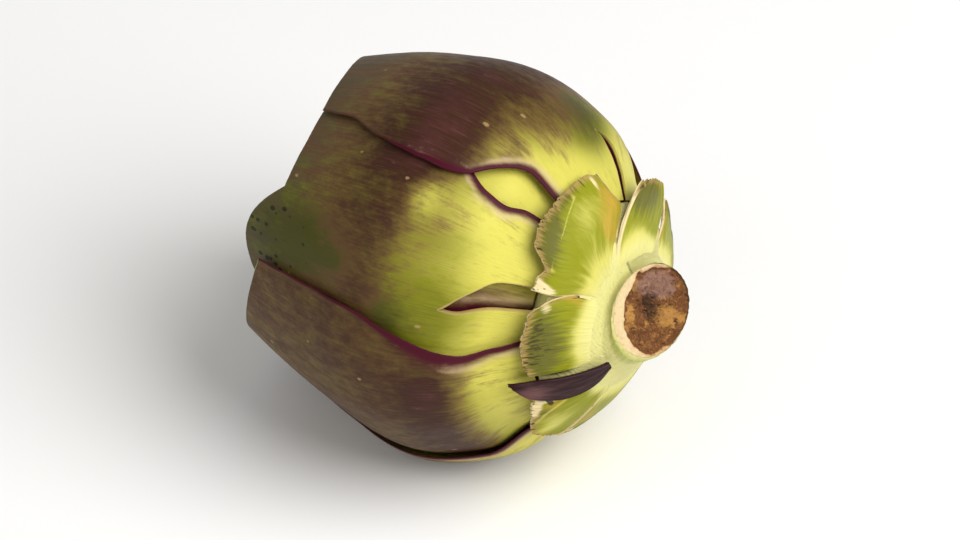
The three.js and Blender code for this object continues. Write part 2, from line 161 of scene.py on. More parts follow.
def noise(x, y, seed):
    """Smooth random heights from -1 to 1: seeded values at the corners of unit squares, and
    between them the corners' values blended by the curve 3t^2 - 2t^3 in each direction."""
    lattice = np.random.default_rng(seed).uniform(-1, 1, (LATTICE, LATTICE))
    x, y = np.broadcast_arrays(np.asarray(x, float), np.asarray(y, float))
    i, j = np.floor(x).astype(int), np.floor(y).astype(int)
    fx, fy = ease(x - i), ease(y - j)
    i, j, i1, j1 = i % LATTICE, j % LATTICE, (i + 1) % LATTICE, (j + 1) % LATTICE
    near = lattice[i, j] * (1 - fx) + lattice[i1, j] * fx
    far = lattice[i, j1] * (1 - fx) + lattice[i1, j1] * fx
    return near * (1 - fy) + far * fy


def layered(layers, x, y, seed):
    """Sum of noises of several sizes, each one seed on from the one before."""
    sizes = enumerate(layers)
    return sum(share * noise(x / width, y / length, seed + n) for n, (width, length, share) in sizes)


def outline():
    """Half of the head's outline. Above the widest section the radius narrows with a power of
    the distance; below it the outline is a superellipse round to the stem's axis. Within 15 mm
    of the widest section the radius is averaged over a bell 4 mm wide, so the two run together."""
    crown = np.arange(-62, 0, OUTLINE_STEP)
    narrowing = (-crown / CROWN_LENGTH) ** CROWN_POWER
    turn = np.radians(np.arange(0, 90, OUTLINE_STEP))
    power = 2 / DOME_POWER
    axial = np.concatenate([crown, DOME_LENGTH * np.sin(turn) ** power])
    crown_radius = BELLY_RADIUS - (BELLY_RADIUS - CROWN_RADIUS) * narrowing
    radius = np.concatenate([crown_radius, BELLY_RADIUS * np.cos(turn) ** power])
    apart = np.arange(-12, 12.1, OUTLINE_STEP)
    weight = np.exp(-((apart / 4) ** 2) / 2)
    averaged = np.interp(axial[:, None] + apart, axial, radius) @ weight / weight.sum()
    averaged += BELLY_RADIUS - averaged.max()
    return axial, radius + (averaged - radius) * (1 - ease((np.abs(axial) - 5) / 10))


AXIAL, RADIUS = outline()
STATIONS = np.arange(len(AXIAL), dtype=float)
AXIAL_STEP = np.gradient(AXIAL) * 2
RADIUS_STEP = np.gradient(RADIUS) * 2


def station_at(axial):
    """Fractional index into the outline at an axial place."""
    return np.interp(axial, AXIAL, STATIONS)


def axial_at(station):
    """Axial place of a fractional index into the outline."""
    return np.interp(station, STATIONS, AXIAL)


def on_envelope(station, depth):
    """Axial place and radius of a point that lies depth below the outline at a station, along
    the line square to the outline there."""
    run = np.interp(station, STATIONS, AXIAL_STEP)
    rise = np.interp(station, STATIONS, RADIUS_STEP)
    size = np.hypot(run, rise)
    axial = axial_at(station) + depth * rise / size
    return axial, np.interp(station, STATIONS, RADIUS) - depth * run / size


def place(axial, radius, angle):
    """Points in the part's frame, in mm: the plant's axis is tipped up at the stem, then the
    middle of its widest section is put in place."""
    a = np.radians(angle)
    across, up = -radius * np.sin(a), radius * np.cos(a)
    x = axial * math.cos(STEM_TILT) - up * math.sin(STEM_TILT)
    z = axial * math.sin(STEM_TILT) + up * math.cos(STEM_TILT)
    return np.stack([x + BELLY_AT[0], across + BELLY_AT[1], z + BELLY_AT[2]], -1)


def pressed_flat(points):
    """Presses the underside flat: below a small height the height falls off exponentially, so
    that it never reaches the floor and starts with no step."""
    z = points[..., 2]
    z[...] = np.where(z < PRESS, PRESS * np.exp(np.minimum(z / PRESS - 1, 0)), z)
    return points


def knife_at(cut, radius, angle):
    """Axial place of a slanted knife cut at a radius and angle."""
    return cut["axial"] + cut["slope"] * radius * np.cos(np.radians(angle - cut["low_side"]))


# ---------------------------------------------------------------- closed slabs

RIM = np.array([0.12, 0.36, 0.64, 0.88])  # shares of the thickness where the rim has points


def ring_quads(count, ring):
    """Faces that join each of so many rings of points to the next, as an array by ring and by
    place in the ring, after those two indices."""
    i, j = np.meshgrid(np.arange(count - 1), np.arange(ring), indexing="ij")
    row, below, after = i * ring, (i + 1) * ring, (j + 1) % ring
    return i, j, np.stack([row + j, row + after, below + after, below + j], -1)


def slab(rows, across, surface, cut_dip=0.0, seam=None):
    """Closed slab as points, quads and facts. surface(v, w, t, bulge) gives whole arrays: v runs
    towards the stem, w across from -1 to 1, t from the outer face at 0 to the inner at 1, and
    bulge rounds the rim, where it is the sine of t times half a turn. Each row is one ring round
    the section, and each end is closed by a grid between the two faces. seam = (side, row)
    leaves that side's rim open above a row, to be welded to the other half of a split bract."""
    m, k = len(across), len(RIM)
    w = np.concatenate([across, np.ones(k), across[::-1], -np.ones(k)])
    t = np.concatenate([np.zeros(m), RIM, np.ones(m), RIM[::-1]])
    side = np.concatenate([np.zeros(m), np.ones(k), np.zeros(m), -np.ones(k)])
    bulge = side * np.sin(math.pi * t) * np.ones((len(rows), 1))
    if seam:
        bulge[: seam[1], side == seam[0]] = 0
    points, facts = surface(rows[:, None], w[None], t[None], bulge)
    n, ring = points.shape[:2]

    i, j, quads = ring_quads(n, ring)
    if seam:
        high = (j >= m - 1) & (j < m + k)
        low = (j >= 2 * m + k - 1) & (j < ring)
        quads = quads[~((i < seam[1]) & (high if seam[0] > 0 else low))]
    quads = [quads.reshape(-1, 4)]

    parts, count = [points.reshape(-1, 3)], n * ring
    gathered = {key: [value.reshape(-1)] for key, value in facts.items()}
    for end, inwards in ((0, 1), (n - 1, -1)):
        start = end * ring
        lines = np.empty((k + 2, m), int)
        lines[0] = start + np.arange(m)
        lines[-1] = start + 2 * m + k - 1 - np.arange(m)
        lines[1:-1, 0] = start + ring - 1 - np.arange(k)
        lines[1:-1, -1] = start + m + np.arange(k)
        lines[1:-1, 1:-1] = np.arange(count, count + k * (m - 2)).reshape(k, m - 2)
        count += k * (m - 2)
        v = rows[end] + cut_dip * inwards * np.sin(math.pi * RIM)[:, None]
        cap, cap_facts = surface(v, across[None, 1:-1], RIM[:, None], np.zeros((k, m - 2)))
        parts.append(cap.reshape(-1, 3))
        for key, value in cap_facts.items():
            gathered[key].append(value.reshape(-1))
        cap_quads = np.stack([lines[:-1, :-1], lines[1:, :-1], lines[1:, 1:], lines[:-1, 1:]], -1)
        quads.append(cap_quads.reshape(-1, 4)[:, ::inwards])
    facts = {key: np.concatenate(value) for key, value in gathered.items()}
    return np.concatenate(parts), np.concatenate(quads), facts


def joined(slabs):
    """Several slabs as one: points at the same place, to a hundredth of a millimetre, are made
    one, and points that no face uses are dropped."""
    points = np.concatenate([s[0] for s in slabs])
    starts = np.cumsum([0] + [len(s[0]) for s in slabs[:-1]])
    quads = np.concatenate([s[1] + start for s, start in zip(slabs, starts)])
    facts = {key: np.concatenate([s[2][key] for s in slabs]) for key in slabs[0][2]}
    used = np.unique(quads)
    rounded = np.round(points[used], 2)
    _, first, same = np.unique(rounded, axis=0, return_index=True, return_inverse=True)
    renumber = np.zeros(len(points), int)
    renumber[used] = same.reshape(-1)
    keep = used[first]
    return points[keep], renumber[quads], {key: value[keep] for key, value in facts.items()}


def signed_volume(points, quads):
    """Sum over the faces of the tetrahedra that they make with the origin: above zero when the
    faces point outwards."""
    a, b, c, d = (points[quads[:, n]] for n in range(4))
    return float((np.cross(a, b) * c + np.cross(a, c) * d).sum()) / 6


def make_piece(name, points, quads, attributes, material):
    """Puts a closed surface into a mesh, with its attributes, material and sharp edges, and has
    it stand for the CAD node of the same name."""
    if signed_volume(points, quads) < 0:
        quads = quads[:, ::-1]
    mesh = bpy.data.meshes.new(name)
    mesh.vertices.add(len(points))
    mesh.vertices.foreach_set("co", (points * MM).astype(np.float32).ravel())
    mesh.loops.add(quads.size)
    mesh.loops.foreach_set("vertex_index", quads.astype(np.int32).ravel())
    mesh.polygons.add(len(quads))
    mesh.polygons.foreach_set("loop_start", np.arange(0, quads.size, 4, dtype=np.int32))
    mesh.update(calc_edges=True)
    mesh.validate()
    for key, value in attributes.items():
        vector = value.ndim == 2
        made = mesh.attributes.new(key, "FLOAT_VECTOR" if vector else "FLOAT", "POINT")
        made.data.foreach_set("vector" if vector else "value", value.astype(np.float32).ravel())
    mesh.shade_smooth()
    mesh.set_sharp_from_angle(angle=SHARP_ANGLE)
    mesh.materials.append(material)
    piece = bpy.data.objects.new(name + "_skin", mesh)
    bpy.context.scene.collection.objects.link(piece)
    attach(piece, "root")
    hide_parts(name)
    return piece


# ---------------------------------------------------------------- bracts


@dataclass
class Bract:
    """Margins as (axial, angle). tip is where a bract ends that was left whole: its axial place
    and angle, how it flares back to the sides, and its half width in degrees. split gives the
    low and high side of a split at the base as (axial, angle), the width of its raw edge in mm,
    and whether that edge is purple. Colour shares are (axial, share) curves: pale is the yellow
    of the base, deep the dark green of a tip, dusk the dull olive-brown of the top and flush
    the purple-brown. bands says how many times its usual width the purple margin has, low side
    and high side. washes are soft patches that add to a share, under its name: (angle, axial,
    half width in degrees, half length, amount). swells raise the outer face in the same way,
    in mm. depths is filled in by nest_under."""

    name: str
    low: list
    high: list
    inner: bool = False
    tip: dict = None
    split: dict = None
    pale: list = field(default_factory=lambda: [[-50, 0], [0, 0.1], [12, 0.45], [24, 1]])
    deep: list = field(default_factory=lambda: [[-30, 0.2], [0, 0.3], [14, 0]])
    dusk: list = field(default_factory=lambda: [[-40, 0.9], [-20, 0.6], [0, 0.2], [12, 0]])
    flush: list = field(default_factory=lambda: [[-30, 0.3], [-8, 0.6], [6, 0.6], [20, 0.05]])
    bands: tuple = ([[-50, 0.3], [4, 0.5], [16, 1], [32, 1]], [[-50, 0.3], [4, 0.5], [16, 1]])
    washes: dict = field(default_factory=dict)
    swells: tuple = ()
    depths: list = None


OUTER_BRACTS = [
    Bract(
        "bract_underside",
        low=[[-50, 143], [0, 138], [12, 140], [20, 143], [32, 143]],
        high=[[-50, 222], [0, 226], [12, 221], [20, 212], [32, 210]],
        flush=[[-30, 0.3], [-8, 0.5], [6, 0.55], [16, 0.25], [24, 0]],
    ),
    Bract(
        "bract_back",
        low=[[-50, -120], [0, -123], [12, -129], [20, -138], [32, -150]],
        high=[[-50, -60], [0, -62], [12, -73], [20, -88], [32, -108]],
        pale=[[-50, 0], [0, 0.05], [12, 0.3], [22, 0.6], [30, 0.9]],
        flush=[[-40, 0.4], [-20, 0.6], [-4, 0.7], [8, 0.35], [18, 0]],
    ),
    Bract(
        "bract_front_low",
        low=[[-50, 73], [-10, 72], [0, 73], [9, 77], [17, 81], [21, 82.2], [25, 81], [32, 76]],
        high=[[-50, 152], [0, 153], [12, 151], [20, 149], [32, 148]],
        pale=[[-50, 0], [0, 0.05], [10, 0.1], [18, 0.25], [22, 0.5], [27, 0.95], [32, 1]],
        deep=[[-30, 0.5], [0, 0.8], [8, 0.8], [14, 0.5], [18, 0.1]],
        dusk=[[-40, 0.6], [-10, 0.3], [4, 0.08], [8, 0]],
        flush=[[-40, 0.5], [-10, 0.7], [6, 0.72], [11, 1], [15, 1.15], [19, 0.68], [23, 0.1]],
        bands=(
            [[-50, 0.2], [2, 0.35], [9, 1.3], [15, 2.1], [20, 1.9], [26, 1.2], [32, 0.8]],
            [[-50, 0.3], [32, 0.6]],
        ),
        washes={"flush": [(84, 13, 5, 5, -0.3)], "pale": [(88, 23, 8, 4, 0.25)]},
    ),
    Bract(
        "bract_top",
        low=[[-50, -72], [0, -76], [12, -87], [20, -101], [32, -121]],
        high=[
            [-50, 15], [-21, 17], [-11, 22], [4, 25], [11, 23.5], [15, 17.5], [20, 10],
            [24, 8.5], [32, 10],
        ],
        split={
            "low": [[20.3, -30.5], [21.3, -36], [23, -40.8], [25, -42.5], [27.2, -41.2],
                    [29.5, -38.4], [32, -35.5]],
            "high": [[20.3, -30.5], [21.5, -33.2], [23, -35], [25, -36.6], [27, -36.2],
                     [29, -34.4], [32, -31.5]],
            "raw": 0.5,
            # its walls are painted the margin's dark purple: partly the edge's own purple, partly
            # painted shade in the gap
            "purple": True,
        },
        pale=[[-50, 0], [4, 0], [9, 0.1], [14, 0.36], [18, 0.52], [21, 0.68], [25, 0.95], [32, 1]],
        deep=[[-50, 0.1], [-10, 0.2], [6, 0.3], [12, 0.1], [18, 0]],
        dusk=[[-45, 0.95], [-28, 0.9], [-16, 0.6], [-6, 0.35], [6, 0.2], [12, 0.1], [18, 0]],
        flush=[[-45, 0.15], [-28, 0.25], [-17, 0.55], [-8, 0.88], [0, 1.05], [5, 1], [9, 0.78],
               [12, 0.55], [16, 0.42], [20, 0.2], [25, 0]],
        bands=(
            [[-50, 0.2], [32, 0.3]],
            [[-50, 0.1], [-10, 0.12], [-3, 0.35], [4, 0.75], [9, 1.05], [32, 0.9]],
        ),
        washes={
            "pale": [(-25, 18, 14, 8, -0.6), (9, 18, 7, 5, 0.35), (-27, 16, 10, 7, -0.3)],
            "flush": [
                (-34, 14, 13, 8, -0.4), (-12, 14, 9, 8, 0.3), (14, 3, 11, 9, 0.35),
                (12, 14.5, 5, 4, -0.25), (10, 16.5, 4, 2.2, 0.3),
            ],
            "deep": [(-20, 8, 9, 7, 0.35), (-27, 16, 13, 8, 0.9)],
            "dusk": [(-14, -26, 20, 12, 0.1), (-30, 8, 12, 8, 0.4)],
        },
        swells=((-30, -21, 26, 15, 1.1),),
    ),
    Bract(
        "bract_back_low",
        low=[[-50, -170], [0, -172], [12, -169], [20, -164], [32, -166]],
        high=[[-50, -103], [0, -104], [12, -111], [20, -121], [32, -134]],
    ),
    Bract(
        "bract_front_high",
        low=[[-50, 8], [0, 12], [9, 17], [13, 22], [18, 25], [21, 24.8], [24.5, 21], [32, 18]],
        high=[[-50, 90], [0, 91], [15, 90], [22, 88], [32, 85]],
        tip={"axial": -36.6, "angle": 66, "flare": 0.02, "half_width": 21},
        split={
            "low": [[16, 66], [19.2, 61], [21.8, 57], [24, 53.3], [26, 51.5], [32, 49]],
            "high": [[16, 66], [19.2, 66.4], [22, 65], [25, 63.5], [32, 62]],
            "raw": 0.7,
            "purple": False,
        },
        pale=[[-50, 0], [-6, 0], [2, 0.1], [6, 0.28], [11, 0.45], [15, 0.66], [20, 0.92], [32, 1.1]],
        deep=[[-50, 0.3], [-20, 0.35], [-4, 0.3], [5, 0.1], [10, 0]],
        dusk=[[-45, 0.8], [-28, 0.7], [-14, 0.42], [-2, 0.22], [6, 0.08], [12, 0]],
        flush=[[-45, 0.12], [-30, 0.22], [-20, 0.45], [-12, 0.75], [-4, 0.92], [1, 0.8],
               [6, 0.38], [11, 0.12], [16, 0]],
        bands=([[-50, 0.2], [2, 0.3], [8, 1], [15, 1.25], [32, 1]], [[-50, 0.2], [32, 0.3]]),
        washes={
            # the deep green at angle 74 by the widest section is partly painted shadow of a
            # neighbouring head
            "deep": [(62, -22, 14, 16, 0.7), (74, 5, 10, 8, 0.8), (58, -9, 12, 11, 0.5)],
            "dusk": [(62, -24, 13, 14, -0.6), (24, -24, 14, 12, 0.15)],
            "flush": [
                (64, -22, 13, 14, -0.45), (20, 2, 9, 9, 0.75), (44, 12, 9, 5, 0.22),
                (72, 4, 7, 6, -0.4), (60, -10, 11, 10, -0.42), (35, 6, 8, 3.5, -0.3),
                (74, -20, 6, 8, 0.3), (21, 6, 7, 6, 0.3),
            ],
            "pale": [
                (35, 6, 5, 4, 0.35), (44, 15, 7, 6, -0.16), (70, 16, 12, 11, -0.75),
                (56, 18, 8, 6, -0.22), (74, 27, 10, 4, 0.4), (45, 18, 7, 3.5, -0.14),
            ],
        },
    ),
]


def inner_bract(index):
    """One of the bracts inside, at the golden angle from the one before."""
    centre = (INNER_START + index * GOLDEN_ANGLE + 180) % 360 - 180
    low = [[axial, centre - half] for axial, half in INNER_HALF_WIDTH]
    high = [[axial, centre + half] for axial, half in INNER_HALF_WIDTH]
    return Bract(
        f"bract_inner_{index + 1:02d}",
        low=low, high=high if index else FIRST_INNER_HIGH, inner=True,
        pale=[[-40, 0.1], [-15, 0.35], [8, 0.8], [16, 1]], deep=[[-40, 0.2], [0, 0]],
        dusk=[[-40, 0.4], [-20, 0.2], [0, 0]], flush=[[-40, 0.65], [-15, 0.35], [5, 0.1], [14, 0]],
    )


INNER = [inner_bract(index) for index in range(INNER_BRACTS)]
# The first and the third show in the openings of the bracts over them: the first is yellow in one
# and purple in the other, and the third is dark: its own purple, made darker still as painted
# shade deep in the narrow split.
INNER[0].pale = [[-40, 0.1], [-15, 0.35], [8, 0.9], [14, 1.2]]
INNER[0].bands = ([[-50, 0.5], [32, 1]], [[-50, 1], [14, 2.6], [32, 2]])
INNER[0].washes = {
    "flush": [(61, 20, 5, 8, 0.75), (56, 26, 5, 5, 0.35)],
    "pale": [(57, 24, 6, 8, -0.5)],
}
INNER[2].washes = {"flush": [(-38, 25, 9, 9, 1.6)], "deep": [(-38, 25, 9, 9, 0.8)]}
INNER[0].swells = ((17, 22, 8, 6, 1.0), (58, 24, 5, 6, 0.5))


def thickness(bract, u):
    """Full in the middle and thin at the margins: outer bracts thin over a good width, inner
    ones only close to their margins."""
    fullness = 1 - u**4 if bract.inner else (1 - u**2) ** 2
    middle = INNER_THICKNESS if bract.inner else OUTER_THICKNESS
    return MARGIN_THICKNESS + (middle - MARGIN_THICKNESS) * fullness


def base_dip(axial):
    """How much deeper a bract lies towards its base, eased in over a stretch of the axis."""
    share = (axial - BASE_DIP["from"]) / (BASE_DIP["to"] - BASE_DIP["from"])
    return BASE_DIP["depth"] * ease(share)


def angle_across(low, high, axial, u):
    """Angle at u, which runs from -1 at the low margin to 1 at the high one."""
    start = along(low, axial)
    return start + (along(high, axial) - start) * (u + 1) / 2


SECTIONS = (-40, -20, 0, 12, 20, 28)  # axial places where nesting is worked out
KNOTS = np.array([-1, -0.6, -0.2, 0.2, 0.6, 1])
KNOT_REACH = 0.42  # how far to each side of a knot, in u, the need for depth is looked for
STEEPEST = 1.1  # mm of depth from one knot to the next


def clear_depth(bract, outside, u):
    """Depth that a bract needs at u to clear every bract outside it, over several sections."""
    depth = np.zeros_like(u)
    for axial in SECTIONS:
        angle = angle_across(bract.low, bract.high, axial, u)
        for other in outside:
            low, high = along(other.low, axial), along(other.high, axial)
            apart = (angle - (low + high) / 2 + 540) % 360 - 180
            v = 2 * apart / (high - low)
            inside = along(other.depths, v) + thickness(other, np.minimum(np.abs(v), 1))
            depth = np.where(np.abs(v) < 1.05, np.maximum(depth, inside + GAP), depth)
    return depth


def nest_under(bract, outside):
    """A bract's depths as (u, depth): the deepest need near each knot, then eased so that one
    knot differs from the next by no more than the steepest allowed change."""
    tried = np.clip(KNOTS[:, None] + KNOT_REACH * np.arange(-1, 1.01, 0.25), -1, 1)
    depths = clear_depth(bract, outside, tried).max(1)
    for i in range(1, len(depths)):
        depths[i] = max(depths[i], depths[i - 1] - STEEPEST)
    for i in range(len(depths) - 2, -1, -1):
        depths[i] = max(depths[i], depths[i + 1] - STEEPEST)
    return np.stack([KNOTS, depths], 1)


for place_in_order, each in enumerate(OUTER_BRACTS + INNER):
    each.depths = nest_under(each, (OUTER_BRACTS + INNER)[:place_in_order])


def bract_depth(bract, axial, u, t):
    """The nesting depth and the dip at the base, plus t times the thickness, which is a little
    less towards the top."""
    outside = along(bract.depths, u) + base_dip(axial)
    thinning = 1 - TOP_THINNING * np.clip(-axial / CROWN_LENGTH, 0, 1)
    return outside + t * thickness(bract, u) * thinning


def top_limit(bract, radius, angle):
    """Where a bract ends at the top: the knife cut, or its own tip where that was left whole."""
    limit = knife_at(TOP_CUT, radius, angle)
    if bract.tip:
        apart = angle - bract.tip["angle"]
        own = bract.tip["axial"] + bract.tip["flare"] * apart**2
        limit = np.where(np.abs(apart) > bract.tip["half_width"], limit, np.minimum(limit, own))
    return limit


def lobe_u(bract, low, high, axial, w):
    """Share across the whole bract, and the angle, of a point at w across one lobe of it."""
    angle = angle_across(low, high, axial, w)
    start, end = along(bract.low, axial), along(bract.high, axial)
    return 2 * (angle - start) / (end - start) - 1, angle


def top_station(bract, low, high, w, t):
    """Station where a bract reaches its top limit, found by halving."""
    above, below = np.ones_like(w + t), np.full_like(w + t, station_at(0))
    for _ in range(24):
        middle = (above + below) / 2
        axial = axial_at(middle)
        u, angle = lobe_u(bract, low, high, axial, w)
        reached, radius = on_envelope(middle, bract_depth(bract, axial, u, t))
        past = reached < top_limit(bract, radius, angle)
        above, below = np.where(past, middle, above), np.where(past, below, middle)
    return below


def bell(patches, angle, axial):
    """Sum of soft round patches, each given as (angle, axial, half width, half length, amount):
    the amount times a bell of the distance from its middle."""
    total = np.zeros_like(axial)
    for middle, place_along, half_width, half_length, amount in patches:
        apart = ((angle - middle + 180) % 360 - 180) / half_width
        total += amount * np.exp(-(apart**2) - ((axial - place_along) / half_length) ** 2)
    return total


def bract_surface(bract, low, high, settings, seed):
    """Returns the surface function of one bract, or of one lobe of it. The outer face follows
    the bract's depth, with relief: a low lip along the margins and a shallow groove behind it,
    broad seeded waves, and fine ribs lengthwise that fade at the base."""
    middle_angle = (along(bract.high, 0.0) + along(bract.low, 0.0)) / 2

    def surface(v, w, t, bulge):
        v, w, t, bulge = np.broadcast_arrays(v, w, t, bulge)
        # all rows of the slab share one row of w and t, but the few rows of a cap do not
        section = slice(1) if v.shape[0] > len(RIM) else slice(None)
        top = top_station(bract, low, high, w[section], t[section])
        station = top + (station_at(BRACT_BASE) - top) * v
        axial = axial_at(station)
        u, angle = lobe_u(bract, low, high, axial, w)
        spread = np.radians(along(bract.high, axial) - along(bract.low, axial))
        width = spread * np.interp(station, STATIONS, RADIUS)
        low_edge, high_edge = width * (1 + u) / 2, width * (1 - u) / 2
        edge = np.minimum(low_edge, high_edge)
        across = np.radians(angle - middle_angle) * BELLY_RADIUS

        lip = hump(edge, LIP_WIDTH) - 0.5 * hump(edge - GROOVE_AT, GROOVE_WIDTH)
        press = settings.margin_press / MM * hump(edge, PRESSED_WIDTH)
        ribs = layered(RIBS, across, axial, seed) * ease(edge / 3) * (1 - ease((axial - 2) / 12))
        waves = (layered(WAVES, across, axial, seed + 2) - WAVE_SINK) * ease(edge / 4)
        relief = settings.lip_height * lip + settings.rib_height * ribs + settings.wave_height * waves
        thick = bract_depth(bract, axial, u, 1) - bract_depth(bract, axial, u, 0)
        raised = relief / MM - SKIN_DROP + bell(bract.swells, angle, axial)
        depth = bract_depth(bract, axial, u, t) - (1 - t) * raised + press * (0.75 - 0.4 * t)
        reached, radius = on_envelope(station, depth)
        wander = WANDER * noise(axial / WANDER_LENGTH, u * 0.4 + 7, seed + 4) * np.abs(u) ** 8
        round_share = 0.08 + 0.34 * hump(edge, 1.5)
        rounding = bulge * thick * round_share + np.sign(u) * wander
        angle = angle + np.degrees(rounding / np.maximum(radius, LEAST_RADIUS))
        points = pressed_flat(place(reached, radius, angle))
        facts = {
            "axial": axial, "angle": angle, "t": t, "edge": edge, "across": across, "v": v,
            "nearer_high": (high_edge < low_edge).astype(float), "rim": np.abs(bulge),
        }
        return points, facts

    return surface


def bract_paint(bract, facts):
    """The shares that the material mixes, from each point's axial place and angle: the bract's
    own curves along the axis plus its washes. The margin's distance is divided by the width of
    the band there, so that a narrow band ends sooner."""
    axial, angle, edge = facts["axial"], facts["angle"], facts["edge"]
    shares = {
        name: along(getattr(bract, name), axial) + bell(bract.washes.get(name, ()), angle, axial)
        for name in ("pale", "deep", "dusk", "flush")
    }
    low, high = (along(band, axial) for band in bract.bands)
    band = np.where(facts["nearer_high"] > 0.5, high, low)
    margin = edge / np.maximum(band, 0.05) + 1.5 * (1 - ease(band / 0.35))
    margin = np.minimum(margin, FARTHEST)
    tear = bract_tear(bract, facts)
    # the walls of a purple split get the margin's dark purple: partly the edge's own purple, partly
    # painted shade in the gap
    if bract.split and bract.split["purple"]:
        wall = ease((facts["t"] - 0.08) / 0.1) * (tear < 1)
        margin, tear = margin * (1 - wall), tear + FARTHEST * wall
    cut = np.sin(math.pi * facts["t"]) * (facts["rim"] < 0.01) * (facts["v"] < 0.5)
    beside_band = hump(edge - 1.3 * band, 1.5)
    return {
        **shares,
        "margin": margin,
        "blush": beside_band * ease(band / 0.8) * ease(shares["pale"] * 2),
        "fibrous": 1 - ease(shares["pale"] * 1.3),
        "cut": np.clip(cut * CUT_EDGE, 0, 1),
        "within": facts["t"],
        "speck": bract_specks(bract, axial, angle),
        "tear": tear,
        "lie": np.stack([facts["across"], axial, facts["t"] * 2], -1),
    }


def bract_specks(bract, axial, angle):
    """Share of the skin that carries dark specks: high on the tip that was left whole."""
    if not bract.tip:
        return np.zeros_like(axial)
    return np.minimum(bell([(bract.tip["angle"] - 3, -27, 14, 11, 1.8)], angle, axial), 1)


def bract_tear(bract, facts):
    """Distance from a lengthwise split in widths of its dried edge, up to the farthest that is
    told apart, which is also the value where there is no split."""
    if not bract.split:
        return np.full_like(facts["axial"], FARTHEST)
    axial, angle = facts["axial"], facts["angle"]
    low, high = (np.abs(angle - along(bract.split[side], axial)) for side in ("low", "high"))
    near = np.minimum(low, high)
    before = np.maximum(bract.split["low"][0][0] - axial, 0)
    apart = np.hypot(np.radians(near) * BELLY_RADIUS, before)
    return np.minimum(apart / bract.split["raw"], FARTHEST)


def margin_spaced(count):
    """Values from -1 to 1, closer together towards both ends, as a sine spaces them."""
    reach = 0.9 * math.pi / 2
    return np.sin(np.linspace(-reach, reach, count)) / math.sin(reach)


def split_slab(bract, settings, rows, columns, seed):
    """A split bract as two lobes that are welded above the split. A line at a constant share of
    the width runs from the top to the split's tip and is the lobes' common side."""
    tip_axial, tip_angle = bract.split["low"][0]
    low, high = along(bract.low, tip_axial), along(bract.high, tip_axial)
    share = (tip_angle - low) / (high - low)
    line = [
        [axial, along(bract.low, axial) * (1 - share) + along(bract.high, axial) * share]
        for axial in (-50, -25, -10, 0, 6, 12)
    ]
    lobes = (
        (bract.low, line + bract.split["low"], 1, share + LOBE_EXTRA),
        (line + bract.split["high"], bract.high, -1, 1 + LOBE_EXTRA - share),
    )
    seam_row = int(round(rows * SEAM_SHARE))
    made = []
    for low_side, high_side, side, part in lobes:
        surface = bract_surface(bract, low_side, high_side, settings, seed)
        top = top_station(bract, low_side, high_side, np.array([float(side)]), np.zeros(1))[0]
        at_tip = float((station_at(tip_axial) - top) / (station_at(BRACT_BASE) - top))
        whole = np.linspace(0, at_tip, seam_row, endpoint=False)
        v = np.concatenate([whole, np.linspace(at_tip, 1, rows - seam_row)])
        w = np.linspace(-1, 1, int(columns * part))
        made.append(slab(v, w, surface, BRACT_CUT_DIP, seam=(side, seam_row + 1)))
    return joined(made)


def build_bract(bract, settings, material, grid, seed):
    """Builds one bract, with rows and columns as grid says."""
    rows, columns = grid
    if bract.split:
        points, quads, facts = split_slab(bract, settings, rows, columns, seed)
    else:
        surface = bract_surface(bract, bract.low, bract.high, settings, seed)
        w = margin_spaced(columns)
        points, quads, facts = slab(np.linspace(0, 1, rows), w, surface, BRACT_CUT_DIP)
    return make_piece(bract.name, points, quads, bract_paint(bract, facts), material)


# ---------------------------------------------------------------- torn stubs


@dataclass
class Stub:
    """What is left of a bract torn off near its base. v runs from the torn edge to the stem and
    w across. low and high are its sides as (v, angle); torn is the torn edge and stem_end the
    other end, as (w, axial). lift raises the torn edge off the head, and rise the whole stub,
    as (v, mm). torn_sides says which sides are torn too. purple is 1 for skin that is purple
    all over. patches are soft colour areas of several kinds: (angle, axial, half width in
    degrees, half length, amount). The kinds are cream for bare flesh, rim for such flesh along
    the torn edge only, ochre for bruises, dark for bared fibres, slit for gaps between them,
    spot for blackened skin, pale for yellow skin and sheen for the greyer streaks on purple.
    vein is a thin pale line through (axial, angle) places."""

    name: str
    low: list
    high: list
    torn: list
    stem_end: list
    lift: float
    rise: list = field(default_factory=lambda: [[0, 0], [1, 0]])
    torn_sides: tuple = ()
    purple: float = 0.0
    patches: dict = field(default_factory=dict)
    vein: list = None


def worn_patches(angle, axial):
    """Bare fibres and a spot of flesh along the torn edge, a bruise beside them and a pale lower
    end, for a stub whose torn edge lies about this angle and axial place."""
    return {
        "dark": [(angle + 6, axial, 18, 2.6, 1.1)],
        "slit": [(angle + 4, axial, 20, 2.6, 1.2)],
        "cream": [(angle - 16, axial, 4, 1.2, 0.75)],
        "ochre": [(angle - 12, axial + 3, 8, 2.2, 0.8)],
        "pale": [(angle, 38, 30, 3.2, 0.9)],
    }


